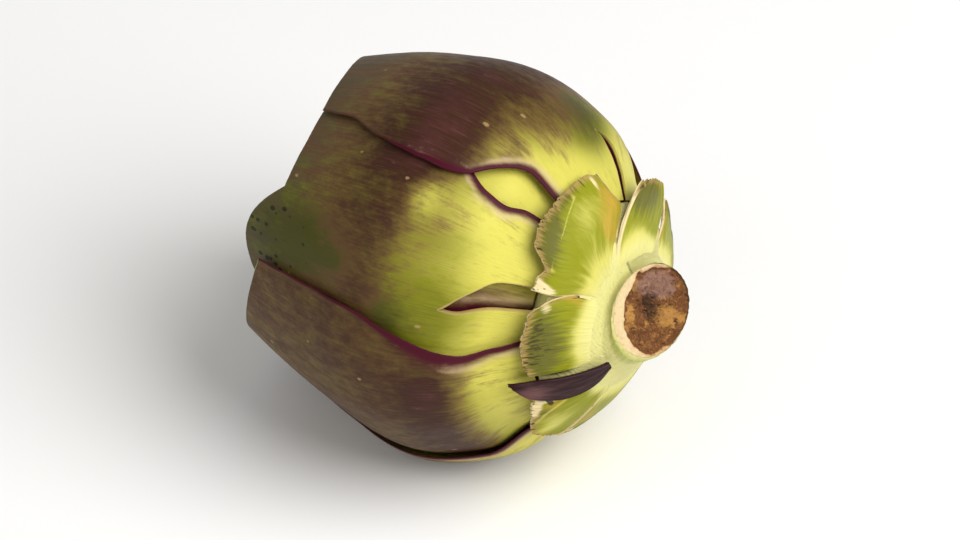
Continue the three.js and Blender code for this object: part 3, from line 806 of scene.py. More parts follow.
STUBS = [
    Stub(
        "stub_upper",
        low=[[0, -13], [0.3, -15], [0.5, -18.5], [0.62, -12], [0.75, -1], [0.88, 10], [1, 16]],
        high=[[0, 50], [0.4, 49.3], [0.68, 44.2], [0.9, 40.6], [1, 39]],
        torn=[[-1, 26.9], [-0.3, 26.2], [0.4, 26.8], [0.7, 29.8], [1, 29]],
        stem_end=[[-1, 37.3], [1, 37.3]], lift=0.2, torn_sides=("low",),
        vein=[[28.3, 6], [29.2, 14], [30, 21], [30.5, 28], [30.7, 34], [31, 39]],
        patches={
            "dark": [(36, 28.6, 11, 3, 1.05), (24, 28, 10, 2, 0.8), (8, 27, 12, 1.3, 0.7)],
            "cream": [
                (47.5, 29.6, 3, 1.6, 0.85), (49, 31.4, 4, 2.2, 0.85), (-8, 28.2, 2, 2.2, 0.7),
                (41, 28.6, 5, 1.1, 0.75),
            ],
            "ochre": [(-13, 31.4, 8, 3.2, 1.0), (-1, 34.4, 9, 2.6, 1.0), (42, 36.4, 7, 1.2, 0.4)],
            "spot": [(50.5, 29.5, 1.3, 0.6, 1.4)],
            "slit": [(30, 28, 26, 2.2, 1.0)],
            "pale": [(6, 31.5, 14, 2.8, 0.45), (24, 37.5, 30, 2.6, 1.0)],
        },
    ),
    Stub(
        "stub_standing",
        low=[[0, -60], [0.5, -55], [1, -40]],
        high=[[0, -36], [0.3, -23], [0.45, -15], [0.6, -6.5], [0.8, 5], [1, 12.5]],
        torn=[[-1, 28.3], [1, 30]], stem_end=[[-1, 37.6], [1, 37.7]], lift=2.6,
        torn_sides=("high",),
        patches={
            "dark": [(-34, 31, 20, 3.4, 1.3)],
            "ochre": [(8, 36.6, 8, 1.6, 0.9)],
            "pale": [(-18, 38, 18, 2.2, 1.1)],
            "rim": [(0, 33, 40, 9, 1.0)],
        },
    ),
    Stub(
        "stub_front",
        low=[[0, 57], [0.29, 51.2], [0.58, 45.7], [0.85, 42.3], [1, 41.5]],
        high=[[0, 92], [0.4, 94], [0.8, 97.5], [1, 100]],
        torn=[[-1, 30.6], [-0.7, 29.6], [0.6, 29.8], [1, 30.5]],
        stem_end=[[-1, 37.6], [1, 37.8]], lift=0.5, torn_sides=("low",),
        patches={
            # this patch of bare cream flesh is partly a painted highlight
            "cream": [(57, 32.2, 6, 1.3, 0.68)],
            "dark": [(78, 32, 24, 3.6, 1.1)],
            "ochre": [(48, 35.3, 5, 1.8, 1.0)],
            "spot": [(45, 36, 1.5, 0.8, 1.3)],
            "pale": [(76, 38, 40, 2.4, 0.7)],
            "slit": [(76, 31.6, 24, 3.2, 1.5)],
        },
    ),
    Stub(
        "stub_tongue",
        low=[[0, 95], [0.2, 95.5], [0.5, 96.5], [0.85, 100.5], [1, 106]],
        high=[[0, 100], [0.12, 105], [0.4, 111.5], [0.7, 116], [0.88, 116], [1, 111.5]],
        torn=[[-1, 27.8], [1, 29]], stem_end=[[-1, 39.3], [1, 39.3]], lift=0.4,
        rise=[[0, 0], [0.3, 0.5], [0.5, 1.3], [0.8, 2], [1, 2]],
        # its sheen patches are a painted highlight on the dark purple
        purple=1.0, patches={"sheen": [(103, 30.5, 6, 3, 0.9), (112, 36, 5, 2.5, 0.15)]},
    ),
    Stub(
        "stub_low",
        low=[[0, 108], [0.5, 117], [0.85, 122], [1, 126]], high=[[0, 150], [1, 147]],
        torn=[[-1, 30.4], [-0.4, 29], [0.3, 27.2], [1, 28]],
        stem_end=[[-1, 37.5], [1, 37.3]], lift=0.4, torn_sides=("low",),
        vein=[[28.3, 126], [31, 122.5], [33, 120.5], [34, 120]],
        patches={
            "pale": [(134, 30.5, 10, 3.4, 0.75)],
            "spot": [(124, 28.6, 2.2, 0.7, 1.2), (112.5, 32.6, 6, 0.5, 1.2)],
            "rim": [(113, 31, 11, 4, 0.9)],
            "cream": [(110, 29.6, 5, 1.2, 0.5)],
            "ochre": [(120, 32.6, 7, 2.5, 0.8)],
            "dark": [(121, 30.6, 5, 2.6, 0.7)],
        },
    ),
    Stub(
        "stub_back_high",
        low=[[0, -106], [1, -98]], high=[[0, -67], [0.5, -63], [1, -50]],
        torn=[[-1, 27.5], [0.2, 27], [1, 29]], stem_end=[[-1, 37.3], [1, 37.6]], lift=1.6,
        torn_sides=("high",), patches=worn_patches(-84, 29.5),
    ),
    Stub(
        "stub_back_low",
        low=[[0, -158], [1, -150]], high=[[0, -110], [1, -103]],
        torn=[[-1, 27.6], [0, 28.6], [1, 27.2]], stem_end=[[-1, 37.3], [1, 37.3]], lift=0.5,
        patches=worn_patches(-136, 30),
    ),
    Stub(
        "stub_underside",
        low=[[0, 155], [1, 152]], high=[[0, 198], [1, 205]], torn=[[-1, 27.4], [0, 28.2], [1, 29]],
        stem_end=[[-1, 37.3], [1, 37.3]], lift=0.4, patches=worn_patches(172, 29.5),
    ),
]


def stub_surface(stub, settings, seed):
    """Returns the surface function of a stub. Its outer face rises towards the torn edge by the
    lift; the torn edge is ragged, which is seeded noise in three sizes with narrow notches, and
    the flesh thins and frays near it in ridges that run lengthwise."""

    def surface(v, w, t, bulge):
        v, w, t, bulge = np.broadcast_arrays(v, w, t, bulge)
        angle = along(stub.low, v) * (1 - w) / 2 + along(stub.high, v) * (1 + w) / 2
        torn, stem_end = along(stub.torn, w), along(stub.stem_end, w)
        reach = stem_end - torn
        width = np.radians(along(stub.high, v) - along(stub.low, v)) * np.interp(torn, AXIAL, RADIUS)
        across = w * math.radians(stub.high[0][1] - stub.low[0][1]) / 2 * TORN_RADIUS
        tears = (share * noise(across / size, row, seed) for size, row, share in TEARS)
        ragged = sum(tears, start=0.55)
        notches = 1.1 * ease((noise(across / NOTCH_WIDTH, 9.5, seed + 1) - 0.55) / 0.2)
        depth_in = settings.ragged / MM * (np.clip(ragged, 0, 2) + notches) * (1 - v) ** 5
        depth_in = depth_in * (1 - TONGUE_CALM * stub.purple)
        axial = torn + (reach + MERGE * (1 - stub.purple)) * v + depth_in
        from_end = reach * v
        from_side = {"low": width * (1 + w) / 2, "high": width * (1 - w) / 2}
        from_torn = np.min([from_end, *(from_side[side] for side in stub.torn_sides)], axis=0)
        fray = np.exp(-from_torn / FRAY_WIDTH) * (1 - TONGUE_CALM * stub.purple)
        ridges = layered(STUB_RIDGES, across, axial, seed + 2)
        swell = noise(across / 6, axial / 5, seed + 4)
        relief = STUB_SWELL * swell * ease(from_torn / 2) + STUB_RIDGE * ridges
        relief = relief + fray * (FRAY_RIDGE * ridges - FRAY_DEPTH)
        thick = STUB_THICKNESS * (1 - 0.3 * w**8)
        sink = STUB_SINK * ease((axial - stem_end) / MERGE)
        raised = stub.lift * (1 - v) ** 1.3 + along(stub.rise, v)
        depth = STUB_DEPTH - raised + thick * t - (1 - t) * (relief - STUB_DROP) + sink
        rough_face = FACE_GRAIN * noise(across / 0.4, t * 5 + axial, seed + 5)
        reached, radius = on_envelope(station_at(axial + rough_face * np.sin(math.pi * t)), depth)
        angle = angle + np.degrees(bulge * thick * 0.3 / np.maximum(radius, LEAST_RADIUS))
        facts = {"axial": axial, "angle": angle, "t": t, "across": across, "from_torn": from_torn}
        return pressed_flat(place(reached, radius, angle)), facts

    return surface


def stub_paint(stub, facts):
    """Millimetres from the torn edge and from the pale vein, and the soft patches. The rim share
    picks out a strip along the torn edge."""
    axial, angle, torn = facts["axial"], facts["angle"], facts["from_torn"]
    kinds = ("cream", "ochre", "dark", "spot", "pale", "rim", "slit", "sheen")
    shares = {kind: bell(stub.patches.get(kind, ()), angle, axial) for kind in kinds}
    vein = np.full_like(axial, FAR)
    if stub.vein:
        (first, _), (last, _) = stub.vein[0], stub.vein[-1]
        beyond = np.maximum(first - axial, 0) + np.maximum(axial - last, 0)
        apart = np.radians(angle - along(stub.vein, axial)) * VEIN_RADIUS
        vein = np.hypot(apart, beyond)
    rim = shares.pop("rim") * hump(torn, 1.5)
    # the tongue's own purple, plus its sheen patches as a painted highlight
    dark_skin_and_painted_light = stub.purple + shares.pop("sheen")
    return {
        **shares,
        "cream": shares["cream"] + 1.1 * rim,
        "pale": shares["pale"] + ease((axial - 35) / 4) * (1 - stub.purple),
        "vein": vein,
        "torn": torn,
        "cut": np.clip(np.sin(math.pi * facts["t"]) * CUT_EDGE, 0, 1) * (1 - stub.purple),
        "dark_skin_and_painted_light": dark_skin_and_painted_light,
        "flesh": ease((axial - 35.3) / 3.2) * (1 - stub.purple),
        "lie": np.stack([facts["across"], axial, facts["t"] * 2], -1),
    }


def build_stub(stub, settings, material, seed):
    """Builds one stub, its rows closer together towards the torn edge."""
    rows = np.linspace(0, 1, STUB_ROWS) ** ROW_CROWDING
    across = np.linspace(-1, 1, STUB_COLUMNS)
    points, quads, facts = slab(rows, across, stub_surface(stub, settings, seed), STUB_CUT_DIP)
    return make_piece(stub.name, points, quads, stub_paint(stub, facts), material)


# ---------------------------------------------------------------- stem and base

# Soft ovals on the pith: places towards the upper side and towards -Y, and half sizes.
HOLLOW = (-0.6, -1.4, 5.2, 2.6)
PITH_PATCHES = {
    "mauve": ((2.8, -5, 3.6, 3.4), (5, -1.5, 2.6, 2.6)),
    "golden": ((-4, -4, 3, 3), (1, 4.6, 3.4, 1.1)),
}
# A painted shadow on the skin of the base, along the upper side of the raised purple tongue.
TONGUE_SHADOW = [(94.5, 31.5, 3, 3, 1.1), (97, 35, 2.5, 2.5, 0.8)]
HEART_DEPTH, HEART_REACH = 2.0, 27.0  # depths where the cone into the head starts and ends
CONE_SHARES = (0, 0.3, 0.65, 1)
CONE_GAP = 0.45  # between the cone and the lower ends of the bracts
CUT_RINGS, SIDE_RINGS, RING_STEP = 44, 64, 3.0  # rings, and degrees between a ring's points
STRAIGHT = 38.0  # axial place from which the stem starts to lean


def oval(x, y, patch):
    """1 in the middle of an oval patch of the cut face, falling off on all sides as hump does."""
    at_x, at_y, wide, high = patch
    return np.exp(-(((x - at_x) / wide) ** 2) - ((y - at_y) / high) ** 2)


def stem_profile():
    """The stem's side and the base that the stubs grow from as (axial, radius): from the rim of
    the cut down a flare to the envelope, then sinking below it, then a cone into the head."""
    cut = STEM_CUT["axial"]
    side = [[cut, CUT_RADIUS], [cut - 0.5, STEM_RADIUS], [cut - 2.5, STEM_RADIUS]]
    side += [[40.9, STEM_RADIUS + 0.1], [40.0, STEM_RADIUS + 0.5]]
    low = BRACT_BASE + CONE_GAP
    seats = [(39.3, 0.1), (38.4, 0.1), (37.2, 0.12), (36, 0.2), (34.8, 0.45), (33.6, 1.1)]
    seats += [(low, HEART_DEPTH + (HEART_REACH - HEART_DEPTH) * share) for share in CONE_SHARES]
    heart = np.array([on_envelope(station_at(axial), depth) for axial, depth in seats])
    return np.concatenate([side, heart])


def stem_surface(settings, seed):
    """Rings from the middle of the cut out to its rim, then down the profile. The cut face is
    slanted. Its pith, which reaches further out on one side, is sunk and fibrous: seeded noise
    in two sizes with one deeper hollow. The stem has low ridges lengthwise, and it leans more
    and more towards the cut."""
    profile, cut = stem_profile(), STEM_CUT["axial"]
    run = np.concatenate([[0], np.cumsum(np.hypot(*np.diff(profile, axis=0).T))])
    cone = len(CONE_SHARES)
    steps = np.concatenate([np.linspace(0, run[-cone - 1], SIDE_RINGS), run[-cone:]])
    axial = np.interp(steps, run, profile[:, 0])
    radius = np.interp(steps, run, profile[:, 1])
    share = np.linspace(0.012, 0.985, CUT_RINGS)
    axial = np.concatenate([np.full(CUT_RINGS, cut), axial])[:, None]
    radius = np.concatenate([CUT_RADIUS * share, radius])[:, None]
    on_cut = np.concatenate([share, np.full(len(steps), 2.0)])[:, None]
    angle = np.arange(0, 360, RING_STEP)[None]
    turn = np.radians(angle)

    round_x, round_y = radius * np.cos(turn), radius * np.sin(turn)
    pith_edge = 0.83 - 0.2 * np.cos(turn - math.radians(75)) + 0.07 * noise(turn * 2.5, 0, seed)
    pith = 1 - ease((on_cut - pith_edge) / 0.14)
    grain = layered(PITH_GRAIN, round_x, round_y, seed + 1)
    hollow = oval(round_x, round_y, HOLLOW)
    sunk = pith * (0.7 + 0.5 * grain + 1.9 * hollow) + (1 - pith) * 0.08 * grain
    ridges = noise(turn * 13, axial / 14, seed + 3) + 0.5 * noise(turn * 31, axial / 8, seed + 4)
    stem_share = np.clip((axial - STRAIGHT) / (cut - STRAIGHT), 0, 1)
    ridge_fade = ease((axial - 38.2) / 1.5) * (on_cut > 1)
    side_radius = radius + settings.ridge_height / MM * ridge_fade * (ridges - 0.6)
    sunk_axial = axial - sunk * ease((1.02 - on_cut) / 0.06)
    # where most is cut off, the cut lies nearer to the head, which is backwards along the axis
    slant = knife_at(STEM_CUT, side_radius, angle) - cut
    points = place(sunk_axial - slant * stem_share**2, side_radius, angle)
    bend = place(0.0, 1.0, 0.0) - place(0.0, 0.0, 0.0)
    points = points + bend * (STEM_BEND * stem_share**1.5)[..., None]
    facts = {
        "axial": axial + 0 * turn, "angle": angle + 0 * axial, "on_cut": on_cut + 0 * turn,
        "pith": pith * (on_cut <= 1), "hollow": hollow * (on_cut <= 1), "radius": radius + 0 * turn,
        "x": round_x, "y": round_y, "beside": on_cut - pith_edge,
    }
    return points, facts


def build_stem(settings, material, seed):
    """Rings joined by quads. The middle of the cut and the cone's inner end are each closed by
    four-sided fans: the ring there is folded onto its own diameter."""
    points, facts = stem_surface(settings, seed)
    n, ring = points.shape[:2]
    _, _, quads = ring_quads(n, ring)
    same_way_as_fans = quads[..., [0, 3, 2, 1]].reshape(-1, 4)
    k = np.arange(ring // 2 - 1)
    fan = np.stack([k, k + 1, ring - 2 - k, ring - 1 - k], -1)
    quads = np.concatenate([same_way_as_fans, fan, fan[:, ::-1] + (n - 1) * ring])
    flat = {key: value.reshape(-1) for key, value in facts.items()}
    far_side = np.cos(np.radians(flat["angle"] + 80))
    on_cut = flat["on_cut"] <= 1
    outwards = np.clip((flat["on_cut"] - 0.35) / 0.65, 0, 1)
    cut_places = flat["x"], flat["y"]
    side_places = np.radians(flat["angle"]) * flat["radius"], flat["axial"]
    patches = {
        name: flat["pith"] * sum(oval(flat["x"], flat["y"], patch) for patch in ovals)
        for name, ovals in PITH_PATCHES.items()
    }
    attributes = {
        **patches,
        "cut": on_cut.astype(float),
        "pith": flat["pith"],
        "hollow": flat["hollow"],
        "ring": on_cut * (0.8 * outwards**2 + hump(flat["beside"], 0.12)),
        # the far side's own olive skin, plus the painted shadow along the tongue's upper side
        "dark_skin_and_painted_light": ease((far_side - 0.2) / 0.7) * ease((flat["axial"] - 40) / 3)
        + bell(TONGUE_SHADOW, flat["angle"], flat["axial"]),
        "green": ease((flat["axial"] - 40.2) / 2.2) * ease((44.4 - flat["axial"]) / 1.5),
        "lie": np.stack([*np.where(on_cut, cut_places, side_places), flat["radius"]], -1),
    }
    return make_piece("stem_and_base", points.reshape(-1, 3), quads, attributes, material)


# ---------------------------------------------------------------- materials


def linear(code):
    """Hex sRGB colour to linear red, green, blue and alpha: below 0.04045 a value is divided by
    12.92, above it (value + 0.055) / 1.055 is raised to 2.4."""
    values = [int(code[n : n + 2], 16) / 255 for n in (1, 3, 5)]
    return tuple(v / 12.92 if v <= 0.04045 else ((v + 0.055) / 1.055) ** 2.4 for v in values) + (1.0,)


def add(tree, kind, inputs=None, out=0, **settings):
    """Adds a node with its settings, links or sets its inputs by name or number, and returns
    one of its outputs."""
    made = tree.nodes.new(kind)
    for key, value in settings.items():
        setattr(made, key, value)
    for key, value in (inputs or {}).items():
        if isinstance(value, bpy.types.NodeSocket):
            tree.links.new(value, made.inputs[key])
        else:
            made.inputs[key].default_value = value
    return made.outputs[out] if made.outputs else made


@dataclass
class Finish:
    """How one material is mixed. marks are patterns: name to (node kind, cells per mm across,
    lengthwise and through, inputs). Each layer lays a colour over those before it: (colour
    setting, vertex attribute, (where it starts, where it is full), strength, {mark: weight}).
    A mark adds its weight times its distance from one half. roughness goes from one value to
    another as a mark or attribute goes from start to end. relief sums marks into a bump."""

    name: str
    base: str
    marks: dict
    layers: list
    roughness: tuple
    relief: dict
    relief_height: float
    shader: dict


NOISE, CELLS = "ShaderNodeTexNoise", "ShaderNodeTexVoronoi"

# Living bract epidermis, waxy: it gives the eye a soft broad gloss over a skin whose
# purple-brown flush breaks up in streaks that run with the fibres.
BRACT_SKIN = Finish(
    name="artichoke bract skin, waxy",
    base="leaf_green",
    marks={
        "streak": (NOISE, (1.9, 0.085, 0), {"Detail": 4.0, "Roughness": 0.6}),  # 0.5 by 12 mm
        "fibre": (NOISE, (3.6, 0.1, 0), {"Detail": 2.0}),  # 0.3 by 10 mm
        # 7 by 13 mm
        "blotch": (NOISE, (0.15, 0.075, 0), {"Detail": 4.0, "Distortion": 0.8, "Roughness": 0.6}),
        "grime": (NOISE, (0.5, 0.28, 0), {"Detail": 5.0, "Roughness": 0.7}),  # 2 by 3.6 mm
        "scar": (CELLS, (0.12, 0.09, 0.12), {}),  # 8 by 11 mm
        "dot": (CELLS, (0.46, 0.36, 0.5), {}),  # 2 by 3 mm apart
        "ends": (CELLS, (1.2, 0.2, 1.2), {}),  # 0.8 mm apart
    },
    layers=[
        ("base_yellow", "pale", (0, 1), 1, {"blotch": 0.7, "grime": 0.5, "streak": 0.15}),
        ("deep_green", "deep", (0, 1), 1, {"blotch": 0.8, "grime": 0.7, "streak": 0.3}),
        ("dusk_olive", "dusk", (0, 1), 0.95, {"blotch": 0.8, "grime": 0.8, "streak": 0.3}),
        ("flush_tan", "flush", (0.0, 0.6), 0.65, {"blotch": 0.9, "grime": 0.7, "streak": 0.4}),
        ("flush_purple", "flush", (0.1, 1.15), 0.95, {"blotch": 0.9, "grime": 0.9, "streak": 0.6}),
        ("flush_rose", "flush", (0.95, 1.7), 0.6, {"blotch": 1.2, "grime": 1.0, "fibre": 0.9}),
        # tan streaks and dull green fibres wherever the skin is not yellow
        ("flush_tan", "fibrous", (1.15, 1.9), 0.5, {"streak": 1.6, "blotch": 1.0, "fibre": 1.4}),
        ("deep_green", "fibrous", (0.9, 1.5), 0.35, {"fibre": 1.2, "blotch": -1.4}),
        ("blush_cream", "blush", (0.2, 1.1), 0.5, {"grime": 1.4, "blotch": 1.0}),
        ("margin_purple", "margin", (3.4, 0.8), 0.3, {"grime": 2.4, "blotch": 2.0}),
        ("margin_purple", "margin", (1.8, 0.4), 1, {"streak": 0.4, "grime": 1.0}),
        # the raw edge of a tear dries to a thin tan line
        ("scar_tan", "tear", (0.75, 0.2), 0.65, {"grime": 0.6}),
        ("scar_tan", "within", (-0.43, -0.46), 0.6, {"scar": 1.0, "grime": 0.12}),
        ("speck_dark", "speck", (1.38, 1.54), 0.85, {"dot": -2.0, "grime": -0.8}),
        # knife-cut flesh with the ends of its fibres
        ("cut_flesh", "cut", (0.2, 0.8), 1, {}),
        ("scar_tan", "cut", (1.45, 1.75), 0.7, {"ends": -2.0}),
        ("base_yellow", "within", (0.9, 1), 0.6, {}),
    ],
    roughness=("grime", 0.3, 0.7, 0.42, 0.56),
    relief={"fibre": 1.0, "grime": 0.5},
    relief_height=0.00007,
    shader={"IOR": 1.45, "Specular IOR Level": 0.17},
)

# Torn bract base, living below and dried at the tear: smooth green skin, then a tan fringe with
# dark slits between its fibres, and cream flesh dotted with their ends.
TORN_BRACT = Finish(
    name="torn artichoke bract, dried fibres",
    base="stub_green",
    marks={
        "streak": (NOISE, (1.5, 0.16, 0), {"Detail": 3.0}),  # 0.7 by 6 mm
        "fibre": (NOISE, (2.6, 0.5, 0), {"Detail": 2.0}),  # 0.4 by 2 mm
        "slit": (NOISE, (1.9, 0.55, 0), {"Detail": 2.0}),  # 0.5 by 1.8 mm
        "blotch": (NOISE, (0.22, 0.2, 0), {"Detail": 3.0, "Distortion": 0.8}),  # 4.5 by 5 mm
        "ends": (CELLS, (1.1, 1.1, 1.1), {}),  # 0.9 mm apart
    },
    layers=[
        ("stub_yellow", "pale", (0.1, 1), 1, {"blotch": 1.0, "streak": 0.3}),
        ("stub_ochre", "ochre", (0.2, 1.3), 0.62, {"blotch": 1.0, "streak": 0.6}),
        ("fibre_dark_green", "dark", (0.15, 0.85), 0.85, {"streak": 1.1, "fibre": 0.4}),
        ("stub_yellow", "vein", (0.9, 0.1), 0.6, {}),
        ("torn_tan", "torn", (1.3, 0), 0.75, {"streak": 2.2, "fibre": 2.0}),
        ("torn_dark", "torn", (-0.6, -1.6), 0.85, {"fibre": -8.0, "slit": -9.0}),
        ("torn_dark", "slit", (1.3, 1.55), 0.65, {"slit": 2.4, "fibre": 1.0}),
        ("torn_cream", "cream", (0.45, 0.8), 1, {"blotch": 0.5, "fibre": 0.5}),
        ("fibre_dark_green", "cream", (1.45, 1.7), 0.7, {"ends": -1.6}),
        ("torn_dark", "spot", (0.45, 0.75), 0.9, {"fibre": 0.8}),
        ("torn_cream", "cut", (0.2, 0.9), 0.9, {}),
        ("torn_tan", "cut", (1.2, 1.6), 0.9, {"ends": -1.6}),
        ("tongue_purple", "dark_skin_and_painted_light", (0, 1), 1, {}),
        # painted highlight: greyer streaks where the tongue's sheen lifts the share past 1
        ("tongue_sheen_grey", "dark_skin_and_painted_light", (1.0, 2.0), 0.8, {"streak": 0.8, "fibre": 0.6}),
        ("stub_flesh", "flesh", (0.1, 1), 1, {"blotch": 0.6}),
    ],
    roughness=("torn", 0.5, 3.0, 0.8, 0.45),
    relief={"fibre": 1.0, "slit": 0.5},
    relief_height=0.00016,
    shader={"IOR": 1.45, "Specular IOR Level": 0.2},
)

# Artichoke stem, peeled by tearing and cut with a knife: moist pale flesh that looks almost
# lit, a cream ring at the cut, and inside it brown pith dried to loose fibres.
STEM_FLESH = Finish(
    name="artichoke stem flesh and dried pith",
    base="flesh_pale",
    marks={
        "streak": (NOISE, (1.1, 0.12, 0.2), {"Detail": 3.0}),  # 0.9 by 8 mm
        "grain": (NOISE, (0.9, 0.6, 0.3), {"Detail": 5.0, "Roughness": 0.7}),  # 1.1 by 1.7 mm
        "clump": (NOISE, (0.26, 0.2, 0.1), {"Detail": 2.0, "Distortion": 0.6}),  # 4 by 5 mm
        "fluff": (NOISE, (1.7, 2.6, 0.5), {"Detail": 4.0, "Distortion": 1.2}),  # 0.6 by 0.4 mm
    },
    layers=[
        ("flesh_green", "green", (0.2, 1.1), 0.8, {"clump": 0.8, "streak": 0.6}),
        # the far side's olive skin, and the painted shadow along the tongue in the same colour
        ("skin_and_shadow_olive", "dark_skin_and_painted_light", (0.2, 0.8), 0.95, {"streak": 0.8}),
        ("ring_cream", "cut", (0.3, 0.7), 1, {}),
        ("ring_tan", "ring", (0.6, 1.5), 0.8, {"grain": 1.8, "fluff": 1.4}),
        ("pith_brown", "pith", (0.25, 0.6), 1, {"grain": 0.9}),
        ("pith_ochre", "pith", (1.05, 1.35), 0.9, {"clump": 1.6, "grain": 1.2}),
        ("pith_ochre", "golden", (0.3, 0.8), 0.85, {"grain": 1.2}),
        ("pith_mauve", "mauve", (0.3, 0.8), 0.85, {"grain": 1.0, "clump": 0.8}),
        ("pith_ochre", "pith", (1.15, 1.6), 0.8, {"fluff": -3.0}),
        ("pith_dark", "hollow", (0.35, 1.0), 0.8, {"grain": 1.6, "fluff": 1.0}),
        ("pith_dark", "pith", (1.2, 1.55), 0.85, {"grain": -1.6, "fluff": 2.4}),
    ],
    roughness=("cut", 0, 1, 0.42, 0.8),
    relief={"streak": 0.4, "grain": 1.0, "fluff": 1.0},
    relief_height=0.0003,
    shader={"IOR": 1.42, "Specular IOR Level": 0.4},
)

# Matt painted board: its tooth, drawn 2 mm apart so that it shows at all, keeps it from
# looking like empty paper.
BOARD = Finish(
    name="matt painted board",
    base="floor_colour",
    marks={"tooth": (NOISE, (0.5, 0.5, 0), {})},  # 2 mm
    layers=[],
    roughness=("tooth", 0.3, 0.7, 0.8, 0.9),
    relief={"tooth": 1.0},
    relief_height=0.00002,
    shader={},
)


def make_material(finish, colours):
    """Builds a finish as nodes: its marks, then its layers one over the other, then the shader."""
    material = bpy.data.materials.new(finish.name)
    material.use_nodes = True
    tree = material.node_tree
    tree.nodes.clear()
    used = [finish.base, *(layer[0] for layer in finish.layers)]
    rgba = {name: (*getattr(colours, name), 1.0) for name in used}
    material.diffuse_color = colour = rgba[finish.base]
    lie = add(tree, "ShaderNodeAttribute", out="Vector", attribute_name="lie")
    marks = {}
    for name, (kind, cells, inputs) in finish.marks.items():
        at = add(tree, "ShaderNodeVectorMath", {0: lie, 1: cells}, operation="MULTIPLY")
        marks[name] = add(tree, kind, {"Vector": at, "Scale": 1.0, **inputs})
    for layer, attribute, (start, full), strength, weights in finish.layers:
        amount = add(tree, "ShaderNodeAttribute", out="Fac", attribute_name=attribute)
        for name, weight in weights.items():
            inputs = {0: marks[name], 1: weight, 2: amount}
            amount = add(tree, "ShaderNodeMath", inputs, operation="MULTIPLY_ADD")
        half = sum(weights.values()) / 2
        inputs = {"Value": amount, "From Min": start + half, "From Max": full + half}
        inputs["To Max"] = strength
        share = add(tree, "ShaderNodeMapRange", inputs, interpolation_type="SMOOTHSTEP")
        colour = add(tree, "ShaderNodeMix", {0: share, 6: colour, 7: rgba[layer]}, 2, data_type="RGBA")
    source, start, end, low, high = finish.roughness
    if source not in marks:
        marks[source] = add(tree, "ShaderNodeAttribute", out="Fac", attribute_name=source)
    inputs = {"Value": marks[source], "From Min": start, "From Max": end, "To Min": low, "To Max": high}
    roughness = add(tree, "ShaderNodeMapRange", inputs)
    height = 0.0
    for name, weight in finish.relief.items():
        inputs = {0: marks[name], 1: weight, 2: height}
        height = add(tree, "ShaderNodeMath", inputs, operation="MULTIPLY_ADD")
    bump = add(tree, "ShaderNodeBump", {"Height": height, "Distance": finish.relief_height})
    inputs = {"Base Color": colour, "Roughness": roughness, "Normal": bump, **finish.shader}
    shader = add(tree, "ShaderNodeBsdfPrincipled", inputs)
    add(tree, "ShaderNodeOutputMaterial", {"Surface": shader})
    return material


# ---------------------------------------------------------------- settings


def colour_setting(name, description, code):
    """A colour, given as a hex sRGB code."""
    return FloatVectorProperty(
        name=name, description=description, subtype="COLOR", size=3, min=0, max=1,
        default=linear(code)[:3],
    )


def length_setting(name, description, millimetres):
    """A length, given in mm and kept in metres."""
    return FloatProperty(
        name=name, description=description, subtype="DISTANCE", unit="LENGTH", min=0,
        precision=5, default=millimetres * MM,
    )


def power_setting(name, description, watts):
    """A light's power."""
    return FloatProperty(name=name, description=description, unit="POWER", min=0, default=watts)


def angle_setting(name, description, degrees):
    """An angle, given in degrees and kept in radians."""
    return FloatProperty(
        name=name, description=description, subtype="ANGLE", unit="ROTATION",
        default=math.radians(degrees),
    )


class ArtichokeBractSettings(bpy.types.PropertyGroup):
    """Relief and colours of the bracts."""

    lip_height: length_setting("Margin lip", "How far a margin stands proud", 0.06)
    margin_press: length_setting("Margin press", "How far a margin is pressed inwards", 0.75)
    rib_height: length_setting("Ribs", "Height of the fine lengthwise ribs", 0.025)
    wave_height: length_setting("Waves", "Height of the broad unevenness", 0.2)
    base_yellow: colour_setting("Base yellow", "Skin near the stem", "#cdc556")
    leaf_green: colour_setting("Leaf green", "Skin between the base and the flush", "#7c7c1c")
    deep_green: colour_setting("Deep green", "Fibres and the whole tip", "#454410")
    dusk_olive: colour_setting("Dull olive", "Weathered skin towards the top", "#453d33")
    flush_purple: colour_setting("Purple-brown flush", "Streaks and blotches", "#361812")
    flush_tan: colour_setting("Flush edge", "Thin flush over the yellow", "#785634")
    margin_purple: colour_setting("Margin purple", "Band along a margin", "#45071c")
    flush_rose: colour_setting("Rosy flush", "Fibres in the strongest flush", "#58302e")
    blush_cream: colour_setting("Blush", "Pale skin behind a margin", "#e2c69a")
    scar_tan: colour_setting("Scar tan", "Scars and dried tears", "#b39464")
    speck_dark: colour_setting("Specks", "Dark specks near a tip", "#181a08")
    cut_flesh: colour_setting("Cut flesh", "Flesh that the knife laid open", "#b9c07e")


class ArtichokeStubSettings(bpy.types.PropertyGroup):
    """Torn edges and colours of the stubs."""

    ragged: length_setting("Raggedness", "How deep the torn edge is frayed", 0.7)
    stub_green: colour_setting("Stub green", "Smooth skin", "#86880c")
    stub_flesh: colour_setting("Pale flesh", "Where a stub runs into the stem", "#d6d084")
    stub_yellow: colour_setting("Stub yellow", "Skin towards the stem", "#cbc460")
    stub_ochre: colour_setting("Ochre", "Bruised and dried skin", "#c6963e")
    fibre_dark_green: colour_setting("Dark fibres", "Fibres laid bare", "#5a5722")
    torn_tan: colour_setting("Torn tan", "Dried fringe", "#a88a52")
    torn_dark: colour_setting("Slits", "Dark slits in the fringe", "#33241a")
    torn_cream: colour_setting("Torn cream", "Fresh torn flesh", "#dcc998")
    tongue_purple: colour_setting("Tongue purple", "The dark tongue", "#270a0f")
    # the colour of the tongue's painted highlight
    tongue_sheen_grey: colour_setting("Tongue grey", "Paler streaks in the tongue", "#6e4a48")


